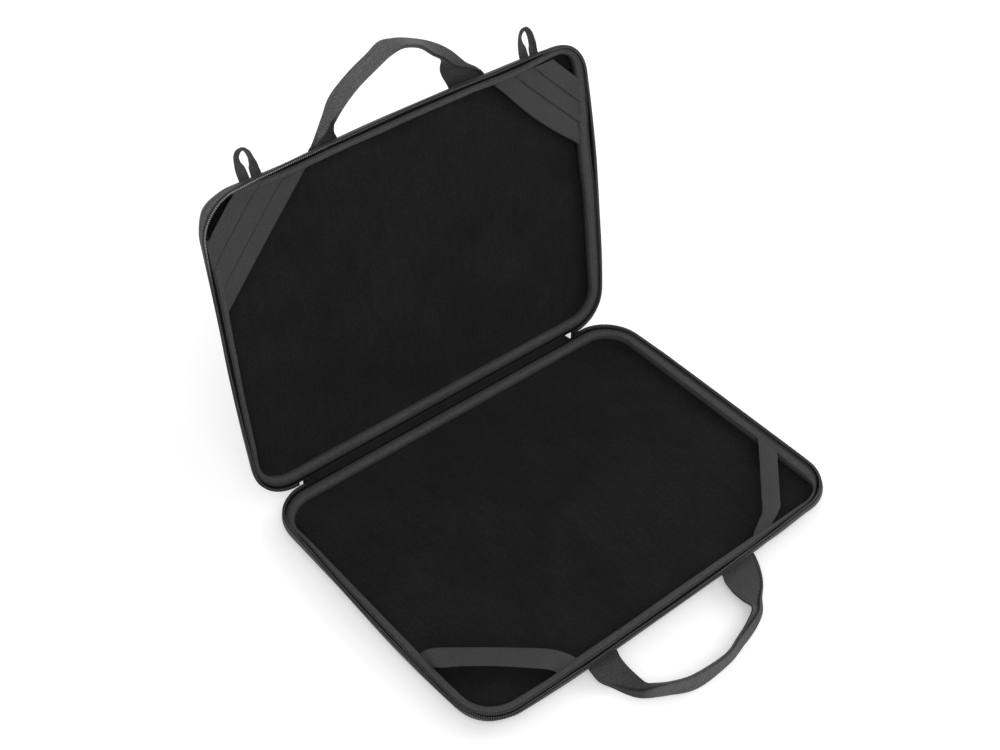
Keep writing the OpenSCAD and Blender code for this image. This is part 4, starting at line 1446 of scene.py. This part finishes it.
def seen_rays(w):
    """1 for what the camera sees, directly, mirrored or through glass, and 0 for light that falls."""
    rays = w.node("ShaderNodeLightPath").outputs
    return w.math("MAXIMUM", rays["Is Camera Ray"],
                  w.math("MAXIMUM", rays["Is Glossy Ray"], rays["Is Transmission Ray"]))


def add_floor():
    """A pale matt floor just under the case, which looks a little brighter than it is."""
    fresh()
    bpy.ops.mesh.primitive_plane_add(size=14, location=(0, 0, -0.0002))
    floor_plane = named("studio_floor")
    pale = bpy.data.materials.new("Pale floor")
    pale.use_nodes = True
    w = Wires(pale.node_tree)
    shader = shader_node(pale, "BSDF_PRINCIPLED")
    shader.inputs["Base Color"].default_value = (0.86, 0.86, 0.86, 1)
    shader.inputs["Roughness"].default_value = 0.9
    shader.inputs["Specular IOR Level"].default_value = 0.0
    glow = w.node("ShaderNodeEmission")
    w.set(glow.inputs["Strength"], w.math("MULTIPLY", seen_rays(w), 0.30))
    both = w.fill(w.node("ShaderNodeAddShader"), (shader.outputs[0], glow.outputs[0]))
    w.set(shader_node(pale, "OUTPUT_MATERIAL").inputs["Surface"], both)
    floor_plane.data.materials.append(pale)


def add_world(scene):
    """White all round, but only about half as strong where it lights the case."""
    world = bpy.data.worlds.new("Studio")
    scene.world = world
    world.use_nodes = True
    w = Wires(world.node_tree)
    back = shader_node(world, "BACKGROUND")
    w.set(back.inputs["Strength"], w.math("MULTIPLY_ADD", seen_rays(w), 0.45, 0.55))
    back.inputs["Color"].default_value = (1, 1, 1, 1)


def add_light(scene, name, spot, aim, size, power):
    """A square soft light that hangs at spot and points at aim."""
    lamp = bpy.data.lights.new(name, "AREA")
    lamp.size = size
    lamp.energy = power
    ob = bpy.data.objects.new(name, lamp)
    scene.collection.objects.link(ob)
    ob.location = spot
    ob.rotation_euler = (Vector(aim) - Vector(spot)).to_track_quat("-Z", "Y").to_euler()


def add_camera(scene):
    """The camera, where the photograph was taken from."""
    lens = bpy.data.cameras.new("camera")
    lens.lens = CAMERA_LENS
    lens.sensor_width = 36.0
    lens.clip_start = 0.01
    lens.clip_end = 100.0
    cam = bpy.data.objects.new("camera", lens)
    scene.collection.objects.link(cam)
    ahead = Vector(CAMERA_AHEAD).normalized()
    up = Vector(CAMERA_RIGHT).normalized().cross(ahead).normalized()
    turn = Matrix((ahead.cross(up), up, -ahead)).transposed().to_4x4()
    cam.matrix_world = Matrix.Translation(CAMERA_PLACE) @ turn
    scene.camera = cam


class CASE_OT_stage(bpy.types.Operator):
    """Makes the pale floor, the soft studio light and the camera"""
    bl_idname = "case.stage"
    bl_label = "Stage"

    def execute(self, context):
        scene = context.scene
        scene.view_settings.view_transform = "Standard"
        add_floor()
        add_world(scene)
        for name, values in LIGHTS.items():
            add_light(scene, name, *values)
        add_camera(scene)
        return {"FINISHED"}


PIECES = (CASE_OT_covers, CASE_OT_foam, CASE_OT_linings, CASE_OT_bindings, CASE_OT_zip_tapes,
          CASE_OT_zip_teeth, CASE_OT_hinge_strip, CASE_OT_lid_bands, CASE_OT_base_straps,
          CASE_OT_handles, CASE_OT_strap_loops, CASE_OT_zip_metal, CASE_OT_stage)


class CASE_PT_panel(bpy.types.Panel):
    """Lists the pieces of the case"""
    bl_idname = "CASE_PT_panel"
    bl_label = "Laptop hard case"
    bl_space_type = "VIEW_3D"
    bl_region_type = "UI"
    bl_category = "Case"

    def draw(self, context):
        for group in (context.scene.case_sizes, context.scene.case_colours):
            for key in group.__annotations__:
                self.layout.prop(group, key)
        for piece in PIECES:
            self.layout.operator(piece.bl_idname)


CLASSES = (CaseSizes, CaseColours) + PIECES + (CASE_PT_panel,)


def register():
    for c in CLASSES:
        bpy.utils.register_class(c)
    bpy.types.Scene.case_sizes = bpy.props.PointerProperty(type=CaseSizes)
    bpy.types.Scene.case_colours = bpy.props.PointerProperty(type=CaseColours)


def unregister():
    del bpy.types.Scene.case_sizes
    del bpy.types.Scene.case_colours
    for c in reversed(CLASSES):
        bpy.utils.unregister_class(c)


def main():
    register()
    for piece in PIECES:
        group, call = piece.bl_idname.split(".")
        getattr(getattr(bpy.ops, group), call)()


if __name__ == "__main__":
    main()
